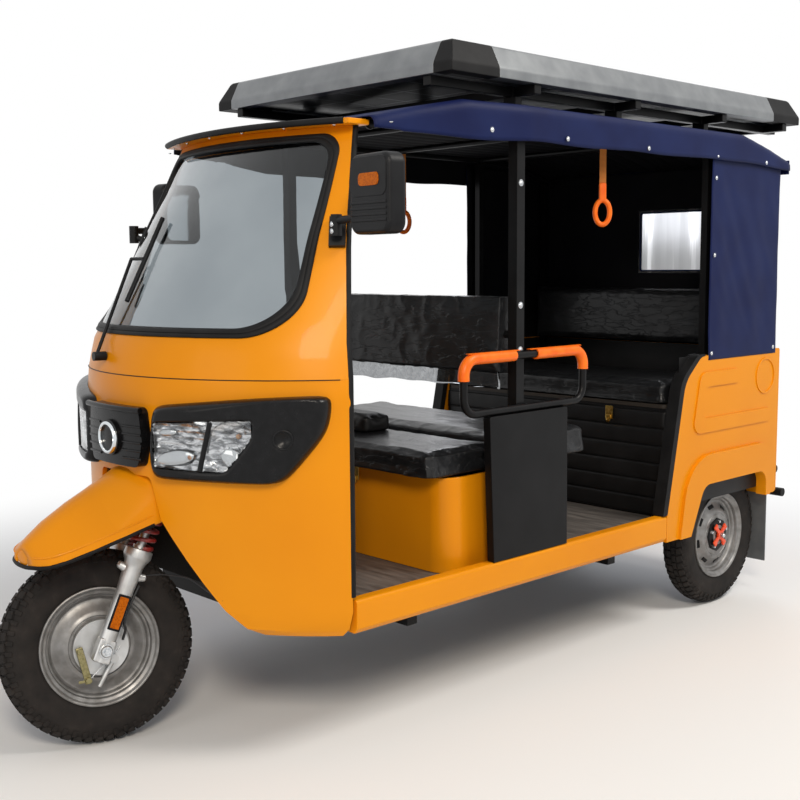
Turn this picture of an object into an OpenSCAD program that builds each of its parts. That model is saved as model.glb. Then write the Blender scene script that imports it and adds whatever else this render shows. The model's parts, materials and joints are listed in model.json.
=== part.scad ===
// Three-wheeled electric passenger tricycle with an open cab, a folded canopy and a solar roof.
// Millimetres, +Z up, nose towards -Y, +X is the vehicle's own left side.

/* [Overall] */
// Distance from front axle to rear axle
wheelbase = 2410; // [2300:10:2480]
// Width of the body over its side sheets
body_w = 1200; // [1180:2:1220]
// Height of the floor above the road
floor_z = 400; // [395:1:410]
// Height of the canopy's flat top
roof_z = 1785; // [1770:1:1810]

/* [Wheels] */
// Outer diameter of every tyre
tyre_d = 536; // [524:1:540]
// Width of every tyre
tyre_w = 96; // [88:1:100]
// Diameter of the rim flange
rim_d = 332; // [324:1:338]
// Distance between the two rear wheel planes
rear_track = 950; // [940:1:960]

/* [Steering] */
// Lean of the steering stem from upright
rake = 25; // [23:0.5:26]
// Angle the fork stands at, negative is to the vehicle's right
steer_rest = -19; // [-24:1:0]
// Set-back of the front axle from the datum under the nose
axle_y = 30; // [20:1:36]
// Distance of the legs ahead of the steering stem
fork_offset = 35; // [30:1:40]
// Distance of each fork leg from the wheel plane
leg_x = 92; // [88:1:96]
// Turns in each red fork spring
spring_turns = 5; // [4:1:7]

/* [Cab] */
// Height of the seam between cowl and windscreen frame
seam_z = 1022; // [1015:1:1030]
// Wall of the moulded cab panels
cab_wall = 14; // [10:1:16]
// Lower edge of the windscreen rubber
screen_low = 1130; // [1120:1:1140]
// Upper edge of the windscreen rubber
screen_high = 1682; // [1670:1:1688]
// Width of the windscreen rubber
rubber_w = 24; // [18:1:30]

/* [Passenger space] */
// Height of the front seat cushion's underside
front_seat_z = 690; // [670:1:700]
// Height of the rear seat box
rear_seat_z = 800; // [780:1:805]
// Position of the middle posts behind the front axle
post_y = 1166; // [1160:1:1172]
// Side of the square middle posts
post_w = 35; // [30:1:38]
// Diameter of the handrail tube
rail_d = 24; // [20:1:26]

/* [Roof and solar panel] */
// Length of the solar panel
solar_l = 1978; // [1940:1:1985]
// Width of the solar panel
solar_w = 1134; // [1000:2:1140]
// Height of the solar panel's border
solar_h = 96; // [84:1:100]
// Front edge of the solar panel
solar_y = 872; // [860:1:880]

/* [Fits] */
// Gap between faces that rest on each other
seat_gap = 0.3; // [0.2:0.05:0.4]
// Radial gap between a pin and its bore
pin_gap = 0.05; // [0.02:0.01:0.08]

/* [Hidden] */
$fn = 64;
frame_shift = [-87, -1300, 0];
half_w = body_w / 2;
tyre_r = tyre_d / 2;
rim_r = rim_d / 2;
axle_z = tyre_r;
track_x = rear_track / 2;
tail_y = wheelbase + 280;
back = wheelbase - 2410;
spring_x = track_x - 145;
sheet = 30;
side_in = half_w - sheet;
stem_y = fork_offset / cos(rake);
stem_r = 18;
head_low = 500;
head_high = 640;
leg_r = 20;
solar_z = roof_z + 72;
leaf_half = 240;
leaf_arc = 1500;
leaf_z = axle_z + 44 + seat_gap;
leaf_end_z = leaf_z + leaf_arc - sqrt(pow(leaf_arc - 8, 2) - pow(leaf_half, 2));
rail_low = 884;
rail_high = 1046;

// Columns of the cab table: height, half width at the door, door edge, nose
cab_table = [
  [330, half_w - 34, 446, 176],
  [352, half_w - 12, 450, 140],
  [400, half_w - 2, 455, 122],
  [960, half_w - 2, 455, 122],
  [1030, half_w - 10, 462, 126],
  [1110, half_w - 28, 472, 145],
  [1390, half_w - 95, 532, 318],
  [1700, half_w - 172, 628, 535]
];
function cab(z, column) = lookup(z, [for (row = cab_table) [row[0], row[column]]]);
function cab_sag(z) = cab(z, 2) - cab(z, 3);
function cab_r(z) = (pow(cab(z, 1), 2) + pow(cab_sag(z), 2)) / (2 * cab_sag(z));
function cab_y(z) = cab(z, 3) + cab_r(z);
function cab_point(z, angle, out) = [
  (cab_r(z) + out) * sin(angle),
  cab_y(z) - (cab_r(z) + out) * cos(angle),
  z
];
function cab_angle(z, x) = asin(min(1, x / cab_r(z)));
lamp_z = 870;
lamp_r = cab_r(lamp_z);
lamp_y = cab_y(lamp_z);
head_r = cab_r(1700);
head_y = cab_y(1700);

// Half width of the windscreen opening at a height, with rounded corners, drawn in by a margin
function corner(d, r) = d >= r ? 0 : r - sqrt(max(0, r * r - pow(r - d, 2)));
function screen_half(z, margin) =
  lookup(z, [[screen_low, 486], [screen_high, 405]]) - margin
  - corner(z - screen_low - margin, 120) - corner(screen_high - margin - z, 60);

module place() translate(frame_shift) children();
module pair() {
  children();
  mirror([1, 0, 0]) children();
}
module block(x, y, z) translate([x[0], y[0], z[0]]) cube([x[1] - x[0], y[1] - y[0], z[1] - z[0]]);
// Plate whose outline is drawn in length and height and which spans a range of widths
module side_plate(x) translate([x[0], 0, 0]) rotate([90, 0, 90]) linear_extrude(x[1] - x[0]) children();
// Plate whose outline is drawn in width and height and which spans a range of lengths
module cross_plate(y) translate([0, y[1], 0]) rotate([90, 0, 0]) linear_extrude(y[1] - y[0]) children();
module flat_plate(z) translate([0, 0, z[0]]) linear_extrude(z[1] - z[0]) children();
module bar(a, b, r) {
  d = b - a;
  translate(a) rotate([0, acos(d[2] / norm(d)), atan2(d[1], d[0])]) cylinder(r = r, h = norm(d));
}
module along_x(x, y, z, r) translate([x[0], y, z]) rotate([0, 90, 0]) cylinder(r = r, h = x[1] - x[0]);

// Outline with every corner rounded: list of [across, up, radius]
function turn(a) = a > 180 ? a - 360 : a < -180 ? a + 360 : a;
function unit(v) = v / norm(v);
function xy(p) = [p[0], p[1]];
function arc_points(p, u, v, r) =
  let (half = acos(u * v) / 2,
       c = p + unit(u + v) * r / sin(half),
       s = p + u * r / tan(half) - c,
       e = p + v * r / tan(half) - c,
       a = atan2(s[1], s[0]),
       sweep = turn(atan2(e[1], e[0]) - a))
  [for (k = [0:6]) c + r * [cos(a + sweep * k / 6), sin(a + sweep * k / 6)]];
function rounded(list) =
  let (n = len(list))
  [for (i = [0:n - 1])
    let (p = xy(list[i]), u = unit(xy(list[(i + n - 1) % n]) - p), v = unit(xy(list[(i + 1) % n]) - p))
    each (list[i][2] > 0 ? arc_points(p, u, v, list[i][2]) : [p])];
module outline(list) polygon(rounded(list));
function box_list(a, b, r) = [[a[0], b[0], r], [a[1], b[0], r], [a[1], b[1], r], [a[0], b[1], r]];

// Closed skin between two grids of points of the same size
module skin(outer, inner) {
  n = len(outer);
  m = len(outer[0]);
  s = n * m;
  function o(i, j) = i * m + j;
  function q(i, j) = s + i * m + j;
  polyhedron(
    points = concat([for (row = outer) each row], [for (row = inner) each row]),
    faces = concat(
      [for (i = [0:n - 2], j = [0:m - 2]) each [
        [o(i, j), o(i + 1, j + 1), o(i, j + 1)], [o(i, j), o(i + 1, j), o(i + 1, j + 1)],
        [q(i, j), q(i, j + 1), q(i + 1, j + 1)], [q(i, j), q(i + 1, j + 1), q(i + 1, j)]]],
      [for (i = [0:n - 2]) each [
        [o(i + 1, 0), o(i, 0), q(i, 0)], [o(i + 1, 0), q(i, 0), q(i + 1, 0)],
        [o(i, m - 1), o(i + 1, m - 1), q(i + 1, m - 1)], [o(i, m - 1), q(i + 1, m - 1), q(i, m - 1)]]],
      [for (j = [0:m - 2]) each [
        [o(0, j), o(0, j + 1), q(0, j + 1)], [o(0, j), q(0, j + 1), q(0, j)],
        [o(n - 1, j + 1), o(n - 1, j), q(n - 1, j)], [o(n - 1, j + 1), q(n - 1, j), q(n - 1, j + 1)]]]),
    convexity = 8);
}
// Band of the cab's curved skin over the full width between two offsets
module cab_band(heights, out, inn) {
  skin([for (z = heights) [for (k = [-14:14]) cab_point(z, k / 14 * cab_angle(z, cab(z, 1)), out)]],
       [for (z = heights) [for (k = [-14:14]) cab_point(z, k / 14 * cab_angle(z, cab(z, 1)), inn)]]);
}
// Patch of the same skin inside the windscreen outline drawn in by a margin
module screen_patch(margin, out, inn) {
  low = screen_low + margin;
  high = screen_high - margin;
  span = high - low;
  rows = [0.002, 0.03, 0.08, 0.15, 0.22, 0.4, 0.6, 0.8, 0.88, 0.93, 0.97, 0.998];
  function angle(z, k) = k / 12 * cab_angle(z, screen_half(z, margin));
  skin([for (f = rows) [for (k = [-12:12]) cab_point(low + f * span, angle(low + f * span, k), out)]],
       [for (f = rows) [for (k = [-12:12]) cab_point(low + f * span, angle(low + f * span, k), inn)]]);
}
// Frame turned about the raked steering stem
module stem_frame() translate([0, stem_y, axle_z]) rotate([-rake, 0, 0]) children();
module at_axle() translate([0, axle_y, 0]) children();
module steered() at_axle() stem_frame() rotate([0, 0, steer_rest]) rotate([rake, 0, 0])
  translate([0, -stem_y, -axle_z]) children();

// Ladder frame of black steel under the floor
rail_z = [floor_z - 125, floor_z - 65];
neck_y = 492;
module chassis_frame() color("#1b1b1d") {
  pair() block([370, 415], [520, 2060 + back], rail_z);
  for (y = [470, 900, 1420, 2015 + back]) block([-375, 375], [y, y + 45], [rail_z[1] - 50, rail_z[1]]);
  pair() block([295, 375], [470, 525], [rail_z[1] - 50, rail_z[1]]);
  pair() for (y = [700, 1650]) block([410, side_in - 20], [y, y + 40], [rail_z[1] - 40, rail_z[1]]);
}
// Raised frame over the rear axle with spring hangers and the towing eye
module rear_frame() color("#1b1b1d") difference() {
  union() {
    pair() block([spring_x - 75, spring_x - 30], [2060 + back + seat_gap, tail_y - 30],
      [floor_z - 65, floor_z - 15 - seat_gap]);
    for (y = [2090 + back, tail_y - 75])
      block([-spring_x + 70, spring_x - 70], [y, y + 45], [floor_z - 65, floor_z - 25]);
    pair() for (e = [-1, 1]) block([spring_x - 35, spring_x + 32],
      [wheelbase + e * leaf_half - 15, wheelbase + e * leaf_half + 15], [leaf_end_z + seat_gap, floor_z - 15 - seat_gap]);
    block([-40, 40], [tail_y - 40, tail_y + 75], [floor_z - 60, floor_z - 50]);
  }
  translate([0, tail_y + 50, 0]) cylinder(r = 11, h = floor_z);
}
// Neck that carries the steering head above the feet
module head_frame() color("#1b1b1d") difference() {
  union() {
    bar([0, neck_y, rail_z[1] + seat_gap], [0, neck_y, 560], 26);
    bar([0, neck_y, 560], [0, 318, 803], 25);
    translate([0, neck_y, 560]) sphere(r = 27);
    at_axle() stem_frame() translate([0, 0, head_low]) cylinder(r = 32, h = head_high - head_low);
  }
  at_axle() stem_frame() translate([0, 0, head_low - 80]) cylinder(r = stem_r + pin_gap, h = 400);
}
// Flat steel floor that narrows between the rear wheels
module floor_pan() color("#6d6a66") flat_plate([floor_z - 15, floor_z]) difference() {
  front = 460 + seat_gap;
  wide_end = 2100 + back;
  rear = tail_y - sheet - seat_gap;
  narrow = track_x - 75;
  outline([
    [-side_in + 12, front, 0], [side_in - 12, front, 0], [side_in - 12, wide_end, 0], [narrow, wide_end, 0],
    [narrow, rear, 0], [-narrow, rear, 0], [-narrow, wide_end, 0], [-side_in + 12, wide_end, 0]]);
  translate([0, neck_y]) circle(r = 26 + 3 * seat_gap);
}
// Rounded box sills under the doorways
module sills() color("#f0960f") pair() translate([0, 1927 + back - seat_gap, 0]) rotate([90, 0, 0])
  linear_extrude(1927 + back - 468) outline([
    [side_in - 10, floor_z - 64, 0], [half_w - 12, floor_z - 66, 14], [half_w, floor_z - 50, 12],
    [half_w, floor_z + 30, 12], [side_in - 10, floor_z + 30, 6]]);

// Moulded lower front shell with its wheel arch
module cowl() color("#f0960f") difference() {
  cab_band([330, 340, 352, 374, 400, 960, 995, seam_z - seat_gap], 0, -cab_wall);
  cross_plate([0, 340]) wheel_arch(0);
}
module wheel_arch(d) outline([
  [-425 + d, 300, 0], [425 - d, 300, 0], [410 - d, 330, 20], [165 - d, 632, 40], [128 - d, 748 - d, 20],
  [-128 + d, 748 - d, 20], [-165 + d, 632, 40], [-410 + d, 330, 20]]);
// Upper front shell around the windscreen with both front pillars
module screen_frame() color("#f0960f") difference() {
  cab_band([seam_z, 1070, 1110, 1180, 1250, 1320, 1390, 1460, 1540, 1620, 1700], 0, -cab_wall);
  screen_patch(rubber_w - 10, 40, -40);
}
module screen_glass() color("#9fb0b8") screen_patch(rubber_w - 8, -2, -8);
// Rubber that grips the glass and laps over the frame
module screen_rubber() color("#141416") difference() {
  screen_patch(0, 8, seat_gap);
  screen_patch(rubber_w, 30, -30);
}
// Curved sun visor over the windscreen
module visor() color("#f0960f") flat_plate([1700 + seat_gap, 1716]) intersection() {
  difference() {
    translate([0, head_y]) circle(r = head_r + 50, $fn = 180);
    translate([0, head_y]) circle(r = head_r - 60, $fn = 180);
  }
  translate([-455, 300]) square([910, 360]);
}
// Outline of a lamp unit on the left cheek: along the cheek, height, corner radius
module bezel_shape() outline([
  [-262, 800, 20], [-246, 752, 26], [112, 756, 60], [236, 900, 50], [250, 982, 26], [120, 984, 200],
  [-240, 944, 30]]);
module lens_shape(grow) outline([
  [-236 - grow, 784 - grow, 24], [-16 + grow, 784 - grow, 34], [60 + grow, 876, 24],
  [60 + grow, 922 + grow, 18], [-236 - grow, 904 + grow, 26]]);
// Turns a shape drawn on the cheek to face outwards from the left cheek
module on_cheek(y) translate([0, lamp_y, 0]) rotate([0, 0, 33]) cross_plate(y) children();
module cheek_ring(inn, out) translate([0, lamp_y, 700]) difference() {
  cylinder(r = lamp_r + out, h = 340, $fn = 160);
  translate([0, 0, -1]) cylinder(r = lamp_r + inn, h = 342, $fn = 160);
}
module headlamp_bezels() color("#17181a") pair() difference() {
  intersection() {
    cheek_ring(seat_gap, 34);
    on_cheek([-900, -400]) bezel_shape();
  }
  intersection() {
    cheek_ring(8, 60);
    on_cheek([-900, -400]) lens_shape(0);
  }
  on_cheek([-900, -lamp_r - 14]) translate([142, 872]) circle(r = 30);
}
module headlamp_lenses() color("#dfe6ea") pair() intersection() {
  cheek_ring(8 + seat_gap, 30);
  on_cheek([-900, -400]) lens_shape(-seat_gap);
}
// Black band across the nose with a plain round badge
module nose_grille() color("#151517") {
  intersection() {
    cheek_ring(seat_gap, 30);
    cross_plate([0, 300]) outline([
      [-120, 776, 20], [120, 776, 20], [140, 850, 10], [128, 940, 20], [-128, 940, 20], [-140, 850, 10]]);
  }
  translate([0, lamp_y - lamp_r - 28, 850]) rotate([90, 0, 0]) cylinder(r = 50, h = 10);
}
// Columns of the fender table: length, half width, crown height, crease height
fender_table = [
  [-178, 26, 568, 562], [-170, 58, 584, 563], [-152, 86, 606, 567], [-112, 112, 642, 578],
  [-40, 130, 686, 598], [50, 142, 731, 623], [130, 149, 767, 645], [205, 153, 800, 664]
];
skirt_h = 27;
// Arched section from skirt to skirt, drawn in by a wall
function fender_row(row, t) = concat(
  [[-row[1] - 3 + t, row[0], row[3] - skirt_h]],
  [for (k = [0:8])
    let (a = 180 - k * 22.5)
    [(row[1] - t) * cos(a), row[0], row[3] + (row[2] - row[3] - t) * sin(a)]],
  [[row[1] + 3 - t, row[0], row[3] - skirt_h]]);
module front_fender() color("#f0960f") difference() {
  skin([for (row = fender_table) fender_row(row, 0)], [for (row = fender_table) fender_row(row, 7)]);
  difference() {
    translate([0, lamp_y, 400]) cylinder(r = lamp_r + seat_gap, h = 600, $fn = 160);
    cross_plate([0, 300]) wheel_arch(seat_gap);
  }
}
// Bulkhead behind the front wheel, bent forward above the feet
module wheel_well() color("#c9800f") {
  intersection() {
    side_plate([-half_w, half_w]) polygon([
      [448, floor_z + 4], [460, floor_z + 4], [460, 562], [342, 708], [332, 700], [448, 556]]);
    translate([0, lamp_y, 0]) cylinder(r = lamp_r - cab_wall - 0.8, h = 900, $fn = 160);
  }
  block([-530, 530], [448, 460], [floor_z - 58, floor_z + 6]);
}
// Shelf below the windscreen with the instrument box
module instrument_shelf() color("#202124") {
  low = seam_z + 24;
  high = seam_z + 40;
  flat_plate([low, high]) difference() {
    translate([0, cab_y(high)]) circle(r = cab_r(high) - cab_wall - 0.8, $fn = 160);
    translate([0, cab_y(high)]) circle(r = cab_r(high) - 130, $fn = 120);
    translate([-900, 440]) square([1800, 1700]);
  }
  flat_plate([low - 58, low + 2]) outline(box_list([-110, 110], [170, 262], 16));
}
// Single wiper standing on the nose
module wiper() color("#121214") {
  elbow = cab_point(1342, -13.6, 34);
  bar(cab_point(1068, -8.5, 2), cab_point(1068, -8.5, 38), 13);
  bar(cab_point(1068, -8.5, 30), elbow, 5);
  bar(elbow, cab_point(1342, -8.2, 20), 5);
  bar(cab_point(1222, -6.3, 18), cab_point(1461, -10.1, 18), 7);
}
// Side mirrors on swinging arms bolted to the front pillars, the right one folded back
mirror_turn = [-7, 80];
module mirror_arm(turn) {
  knuckle = [512, 488, 1396];
  translate(cab_point(1404, 43, 0)) rotate([0, 0, 43]) rotate([-21.5, 0, 0])
    block([-22, 22], [-17, -seat_gap - 0.4], [-42, 42]);
  bar(cab_point(1404, 43, 9), knuckle + [0, 0, 22], 10);
  translate(knuckle) {
    cylinder(r = 15, h = 56);
    rotate([0, 0, turn]) {
      bar([0, 0, 40], [130, 0, 44], 9);
      translate([189, 0, 99]) rotate([90, 0, 0]) translate([0, 0, -31]) linear_extrude(62)
        outline(box_list([-85, 85], [-100, 100], 24));
    }
  }
}
module mirrors() color("#18191b") {
  mirror_arm(mirror_turn[0]);
  mirror([1, 0, 0]) mirror_arm(mirror_turn[1]);
}
// Square steel posts at the middle and the rear with their backrest bars
module posts() color("#19191b") {
  in_x = side_in - seat_gap - post_w - 2;
  top_z = roof_z - 7 - 2 * seat_gap - 28;
  pair() block([in_x, in_x + post_w], [post_y - post_w / 2, post_y + post_w / 2], [floor_z + 30 + seat_gap, top_z]);
  along_x([-in_x - 5, in_x + 5], post_y, 1105, 12);
  pair() block([side_in - 26, side_in - 0.6], [2192 + back, 2217 + back], [floor_z + 480, top_z]);
  pair() block([side_in - 26, side_in - 0.6], [tail_y - 58, tail_y - 33], [floor_z + 170, top_z - 66.6]);
  along_x([-side_in + 5, side_in - 5], tail_y - 46, 1105, 12);
}
// Columns of the roof table: length, half width, top height, valance edge
roof_table = [
  [640, 496, 1716 + seat_gap + 7, 1690], [760, 528, roof_z - 32, 1684], [930, 572, roof_z, 1676],
  [1160, half_w + 6, roof_z, 1678], [2180 + back, half_w + 14 + seat_gap, roof_z, 1682],
  [2370 + back, half_w + 14 + seat_gap, roof_z, 1682], [2560 + back, half_w + 14 + seat_gap, roof_z - 40, 1676], [tail_y + 8, half_w + 14 + seat_gap, roof_z - 76, 1668]
];
function roof(y, column) = lookup(y, [for (row = roof_table) [row[0], row[column]]]);
function roof_row(row, t) =
  let (w = row[1] - t, top = row[2] - t, r = 26, edge = [[w, row[3]], [w, top - r], [w - 8, top - 9], [w - r, top]])
  concat([for (p = edge) [-p[0], row[0], p[1]]], [for (k = [3:-1:0]) [edge[k][0], row[0], edge[k][1]]]);
// Tubes under the canopy: side rails and bows
module roof_frame() color("#1a1a1c") {
  tube = 13;
  mid_z = roof_z - 7 - seat_gap - 14;
  rail = [[690, 424, mid_z - 56], [930, 500, mid_z], [1150, 548, mid_z], [2200 + back, 556, mid_z],
          [2362 + back, 556, mid_z], [tail_y - 40, 556, mid_z - 68]];
  pair() for (i = [0:len(rail) - 2]) {
    bar([rail[i][1], rail[i][0], rail[i][2]], [rail[i + 1][1], rail[i + 1][0], rail[i + 1][2]], tube);
    translate([rail[i][1], rail[i][0], rail[i][2]]) sphere(r = 14);
  }
  for (i = [1, 2, 3]) along_x([-rail[i][1], rail[i][1]], rail[i][0], rail[i][2], 11);
  for (y = [1660, 2240 + back]) along_x([-552, 552], y, mid_z, 11);
}
// Folded black side panels between sill and handrail
module side_panels() color("#151517") pair() difference() {
  panel_top = rail_low - rail_d / 2 - seat_gap;
  side_plate([side_in + seat_gap, half_w - 2]) outline([
    [1016, floor_z + 30 + seat_gap, 0], [1364, floor_z + 30 + seat_gap, 0], [1360, panel_top, 8], [996, panel_top, 8]]);
  side_plate([side_in - 1, half_w - 6]) outline([[1030, 450, 4], [1350, 450, 4], [1346, panel_top - 16, 4], [1012, panel_top - 16, 4]]);
}
// Closed loops of bent tube at hand height
module handrails() color("#141416") pair() {
  x = side_in - 2 + rail_d / 2 + seat_gap;
  r = 48;
  y = [902, 1458];
  z = [rail_low, rail_high];
  mid = [(y[0] + y[1]) / 2, (z[0] + z[1]) / 2];
  for (e = z) bar([x, y[0] + r, e], [x, y[1] - r, e], rail_d / 2);
  for (e = y) bar([x, e, z[0] + r], [x, e, z[1] - r], rail_d / 2);
  for (a = [0, 90, 180, 270])
    translate([x, a < 90 || a > 180 ? y[1] - r : y[0] + r, a < 180 ? z[1] - r : z[0] + r])
      rotate([90, 0, 90]) rotate([0, 0, a]) rotate_extrude(angle = 90) translate([r, 0]) circle(d = rail_d);
}
// Orange covers clipped on the upper run of the handrails
module handrail_grips() color("#f26a1b") pair() {
  x = side_in - 2 + rail_d / 2 + seat_gap;
  for (y = [[920, 1142], [1190, 1440]]) difference() {
    translate([x, y[0], rail_high]) rotate([-90, 0, 0]) cylinder(r = rail_d / 2 + 5, h = y[1] - y[0]);
    translate([x, y[0] - 1, rail_high]) rotate([-90, 0, 0]) cylinder(r = rail_d / 2 + seat_gap, h = y[1] - y[0] + 2);
    block([x - 30, x + 30], [y[0] - 2, y[0] + 30], [rail_high - 56, rail_high + 14]);
    block([x - 30, x + 30], [y[1] - 20, y[1] + 2], [rail_high - 56, rail_high + 14]);
  }
}
// Blue fabric roof with its hanging valances
module canopy_roof() color("#23284f")
  skin([for (row = roof_table) roof_row(row, 0)], [for (row = roof_table) roof_row(row, 7)]);
// Fabric curtain round the rear of the passenger space
module canopy_rear() color("#23284f") difference() {
  flat_plate([968, 1674]) difference() {
    outline([[-half_w - 7, 2172 + back, 0], [half_w + 7, 2172 + back, 0], [half_w + 7, tail_y + 7, 9],
             [-half_w - 7, tail_y + 7, 9]]);
    outline([[-half_w - seat_gap, 2100 + back, 0], [half_w + seat_gap, 2100 + back, 0],
             [half_w + seat_gap, tail_y + seat_gap, 0], [-half_w - seat_gap, tail_y + seat_gap, 0]]);
  }
  cross_plate([tail_y - 40, tail_y + 40]) window_shape(0);
}
module window_shape(grow) outline(box_list([-60 - grow, 420 + grow], [1288 - grow, 1532 + grow], 22));
module rear_window() color("#cfd6da") cross_plate([tail_y + seat_gap, tail_y + 5]) window_shape(-seat_gap);

// Outline of the rear quarter in length and height with its flat-topped wheel arch
module arch_shape(out) translate([back, 0]) outline([
  [2066 - 0.6 * out, floor_z - 100, 0], [2066 - 0.6 * out, floor_z - 68, 20], [2150 - 0.9 * out, 512 + out, 60 + out],
  [2592 + 0.3 * out, 512 + out, 50 + 0.3 * out], [2592 + 0.3 * out, floor_z - 100, 0]]);
module quarter_outline() difference() {
  translate([back, 0]) outline([
    [1927, floor_z - 66, 0], [2300, floor_z - 66, 0], [2500, floor_z + 12, 0], [2690, floor_z + 12, 20],
    [2690, 985, 10], [2128, 985, 60], [2026, 900, 120], [1927, floor_z + 30, 0]]);
  arch_shape(0);
}
module quarter_panels() color("#f0960f") pair() {
  side_plate([side_in, half_w]) quarter_outline();
  side_plate([half_w - 1, half_w + 12]) intersection() {
    quarter_outline();
    arch_shape(112);
  }
  side_plate([half_w - 1, half_w + 5]) translate([back, 0]) difference() {
    outline([[2074, 704, 40], [2611, 704, 6], [2611, 757, 6], [2374, 757, 0], [2374, 926, 6], [2122, 926, 40]]);
    outline([[2134, 757, 20], [2700, 757, 0], [2700, 872, 0], [2166, 872, 24]]);
  }
  translate([half_w - 1, 2582 + back, 884]) rotate([0, 90, 0]) difference() {
    cylinder(r = 70, h = 5);
    translate([0, 0, -1]) cylinder(r = 63, h = 8);
  }
}
// Black edging along the leading edge of each rear quarter
module quarter_trims() color("#131315") pair() side_plate([side_in - 14, half_w + 2]) difference() {
  translate([-26, 6]) quarter_outline();
  translate([-seat_gap, 0]) quarter_outline();
  translate([1800 + back, 0]) square([1200, floor_z + 32]);
  translate([2150 + back, 400]) square([900, 700]);
}
// Yellow tail with the blank plate carrier
module tail_panel() color("#f0960f") difference() {
  union() {
    block([-side_in + seat_gap, side_in - seat_gap], [tail_y - 30, tail_y], [floor_z + 2, 985]);
    block([-150, 150], [tail_y - 1, tail_y + 8], [560, 680]);
  }
  for (x = [-70, 70]) translate([x, tail_y - 60, 640]) rotate([-90, 0, 0]) cylinder(r = 3.3, h = 120);
}
module tail_lamps() color("#b3201c") pair()
  cross_plate([tail_y + seat_gap, tail_y + 26]) outline(box_list([440, 560], [660, 860], 16));
// Black tube bumper whose lower bar stands further back
module rear_bumper() color("#161618") {
  low = [tail_y + 92, 392];
  high = [tail_y + 50, 492];
  along_x([-515, 515], low[0], low[1], 15);
  along_x([-515, 515], high[0], high[1], 13);
  pair() {
    bar([376, tail_y + seat_gap + 4, 428], [376, low[0], low[1]], 12);
    bar([500, tail_y + seat_gap, high[1]], [500, high[0], high[1]], 11);
    bar([300, high[0], high[1]], [300, low[0], low[1]], 10);
  }
}
module mud_flaps() color("#5a5c5e") pair()
  block([405, 560], [tail_y + seat_gap, tail_y + 6], [120, 440]);

// Yellow moulded box under the front seats
module front_seat_box() color("#f0960f") difference() {
  flat_plate([floor_z + seat_gap, front_seat_z]) outline([
    [-524, 885, 70], [524, 885, 70], [524, 1400, 10], [-524, 1400, 10]]);
  flat_plate([floor_z + 12, front_seat_z + 1]) outline([
    [-512, 897, 60], [512, 897, 60], [512, 1388, 8], [-512, 1388, 8]]);
}
module battery_pack() color("#2c2f33") block([-390, 390], [960, 1340], [floor_z + 12 + seat_gap, 640]);
module cushion(x, y, z, r) flat_plate(z) outline(box_list(x, y, r));
module driver_cushion() color("#2a2b2e")
  cushion([-518, 518], [815, 1164], [front_seat_z + seat_gap, front_seat_z + 76], 40);
module middle_cushion() color("#2a2b2e")
  cushion([-518, 518], [1164 + seat_gap, 1590], [front_seat_z + seat_gap, front_seat_z + 92], 40);
// Padded backrest round the middle bar
module middle_backrest() color("#2a2b2e") difference() {
  block([-526, 526], [post_y - 42, post_y + 42], [978, 1236]);
  along_x([-600, 600], post_y, 1105, 12 + seat_gap);
}
module driver_pad() color("#1f2022")
  cushion([-330, 60], [985, 1112], [front_seat_z + 76 + seat_gap, front_seat_z + 136], 24);

// Rear seat box between the wheels with the hinge brackets of its lid
hinge_y = 2484 + back;
box_in = track_x - tyre_w / 2 - 29;
hinge_r = 5;
module hinge_spots() for (x = [-300, 300]) translate([x, hinge_y, rear_seat_z + 12]) rotate([0, 90, 0]) children();
// Plan of the seat box drawn in by a wall, narrow between the wheels
module seat_box_shape(wall) translate([0, back]) outline([
  [-552 + wall, 2000 + wall, 20 - wall / 2], [552 - wall, 2000 + wall, 20 - wall / 2], [552 - wall, 2100 - wall, 0],
  [box_in - wall, 2100 - wall, 0], [box_in - wall, 2470 - wall, 0], [-box_in + wall, 2470 - wall, 0],
  [-box_in + wall, 2100 - wall, 0], [-552 + wall, 2100 - wall, 0]]);
module rear_seat_box() color("#202124") {
  difference() {
    flat_plate([floor_z + seat_gap, rear_seat_z]) seat_box_shape(0);
    flat_plate([floor_z + 15, rear_seat_z + 1]) seat_box_shape(15);
  }
  hinge_spots() translate([0, 0, -34]) cylinder(r = hinge_r, h = 68);
  for (x = [-334, -276, 266, 324]) {
    block([x, x + 10], [2462 + back, hinge_y + 10], [rear_seat_z - 60, rear_seat_z - 2]);
    block([x, x + 10], [hinge_y - 10, hinge_y + 10], [rear_seat_z - 10, rear_seat_z + 20]);
  }
}
// Plywood base of the lifting seat with its hinge knuckles
module rear_seat_board() color("#2f2a24") difference() {
  union() {
    flat_plate([rear_seat_z + seat_gap, rear_seat_z + 14]) outline(box_list([-540, 540], [1995 + back, 2462 + back], 20));
    hinge_spots() translate([0, 0, -22]) cylinder(r = 11, h = 44);
    for (x = [-322, 278]) block([x, x + 44], [2440 + back, hinge_y], [rear_seat_z + 3, rear_seat_z + 14]);
  }
  hinge_spots() translate([0, 0, -60]) cylinder(r = hinge_r + pin_gap, h = 120);
}
module rear_cushion() color("#2a2b2e")
  cushion([-540, 540], [1985 + back, 2462 + back], [rear_seat_z + 14 + seat_gap, rear_seat_z + 92], 40);
module rear_backrest() color("#2a2b2e")
  block([-530, 530], [tail_y - 152, tail_y - 58 - seat_gap], [985, 1226]);

// Orange hand straps hung from the roof frame
module hand_straps() color("#f26a1b") for (p = [[500, 1660], [-460, 1660]]) {
  top = roof_z - 7 - 2 * seat_gap - 25;
  block([p[0] - 12, p[0] + 12], [p[1] - 2, p[1] + 2], [1530, top]);
  translate([p[0], p[1], 1525]) rotate([90, 0, 40]) cylinder(r = 10, h = 24, center = true);
  translate([p[0], p[1], 1482]) rotate([90, 0, 40]) rotate_extrude() translate([36, 0]) circle(r = 8);
}
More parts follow.
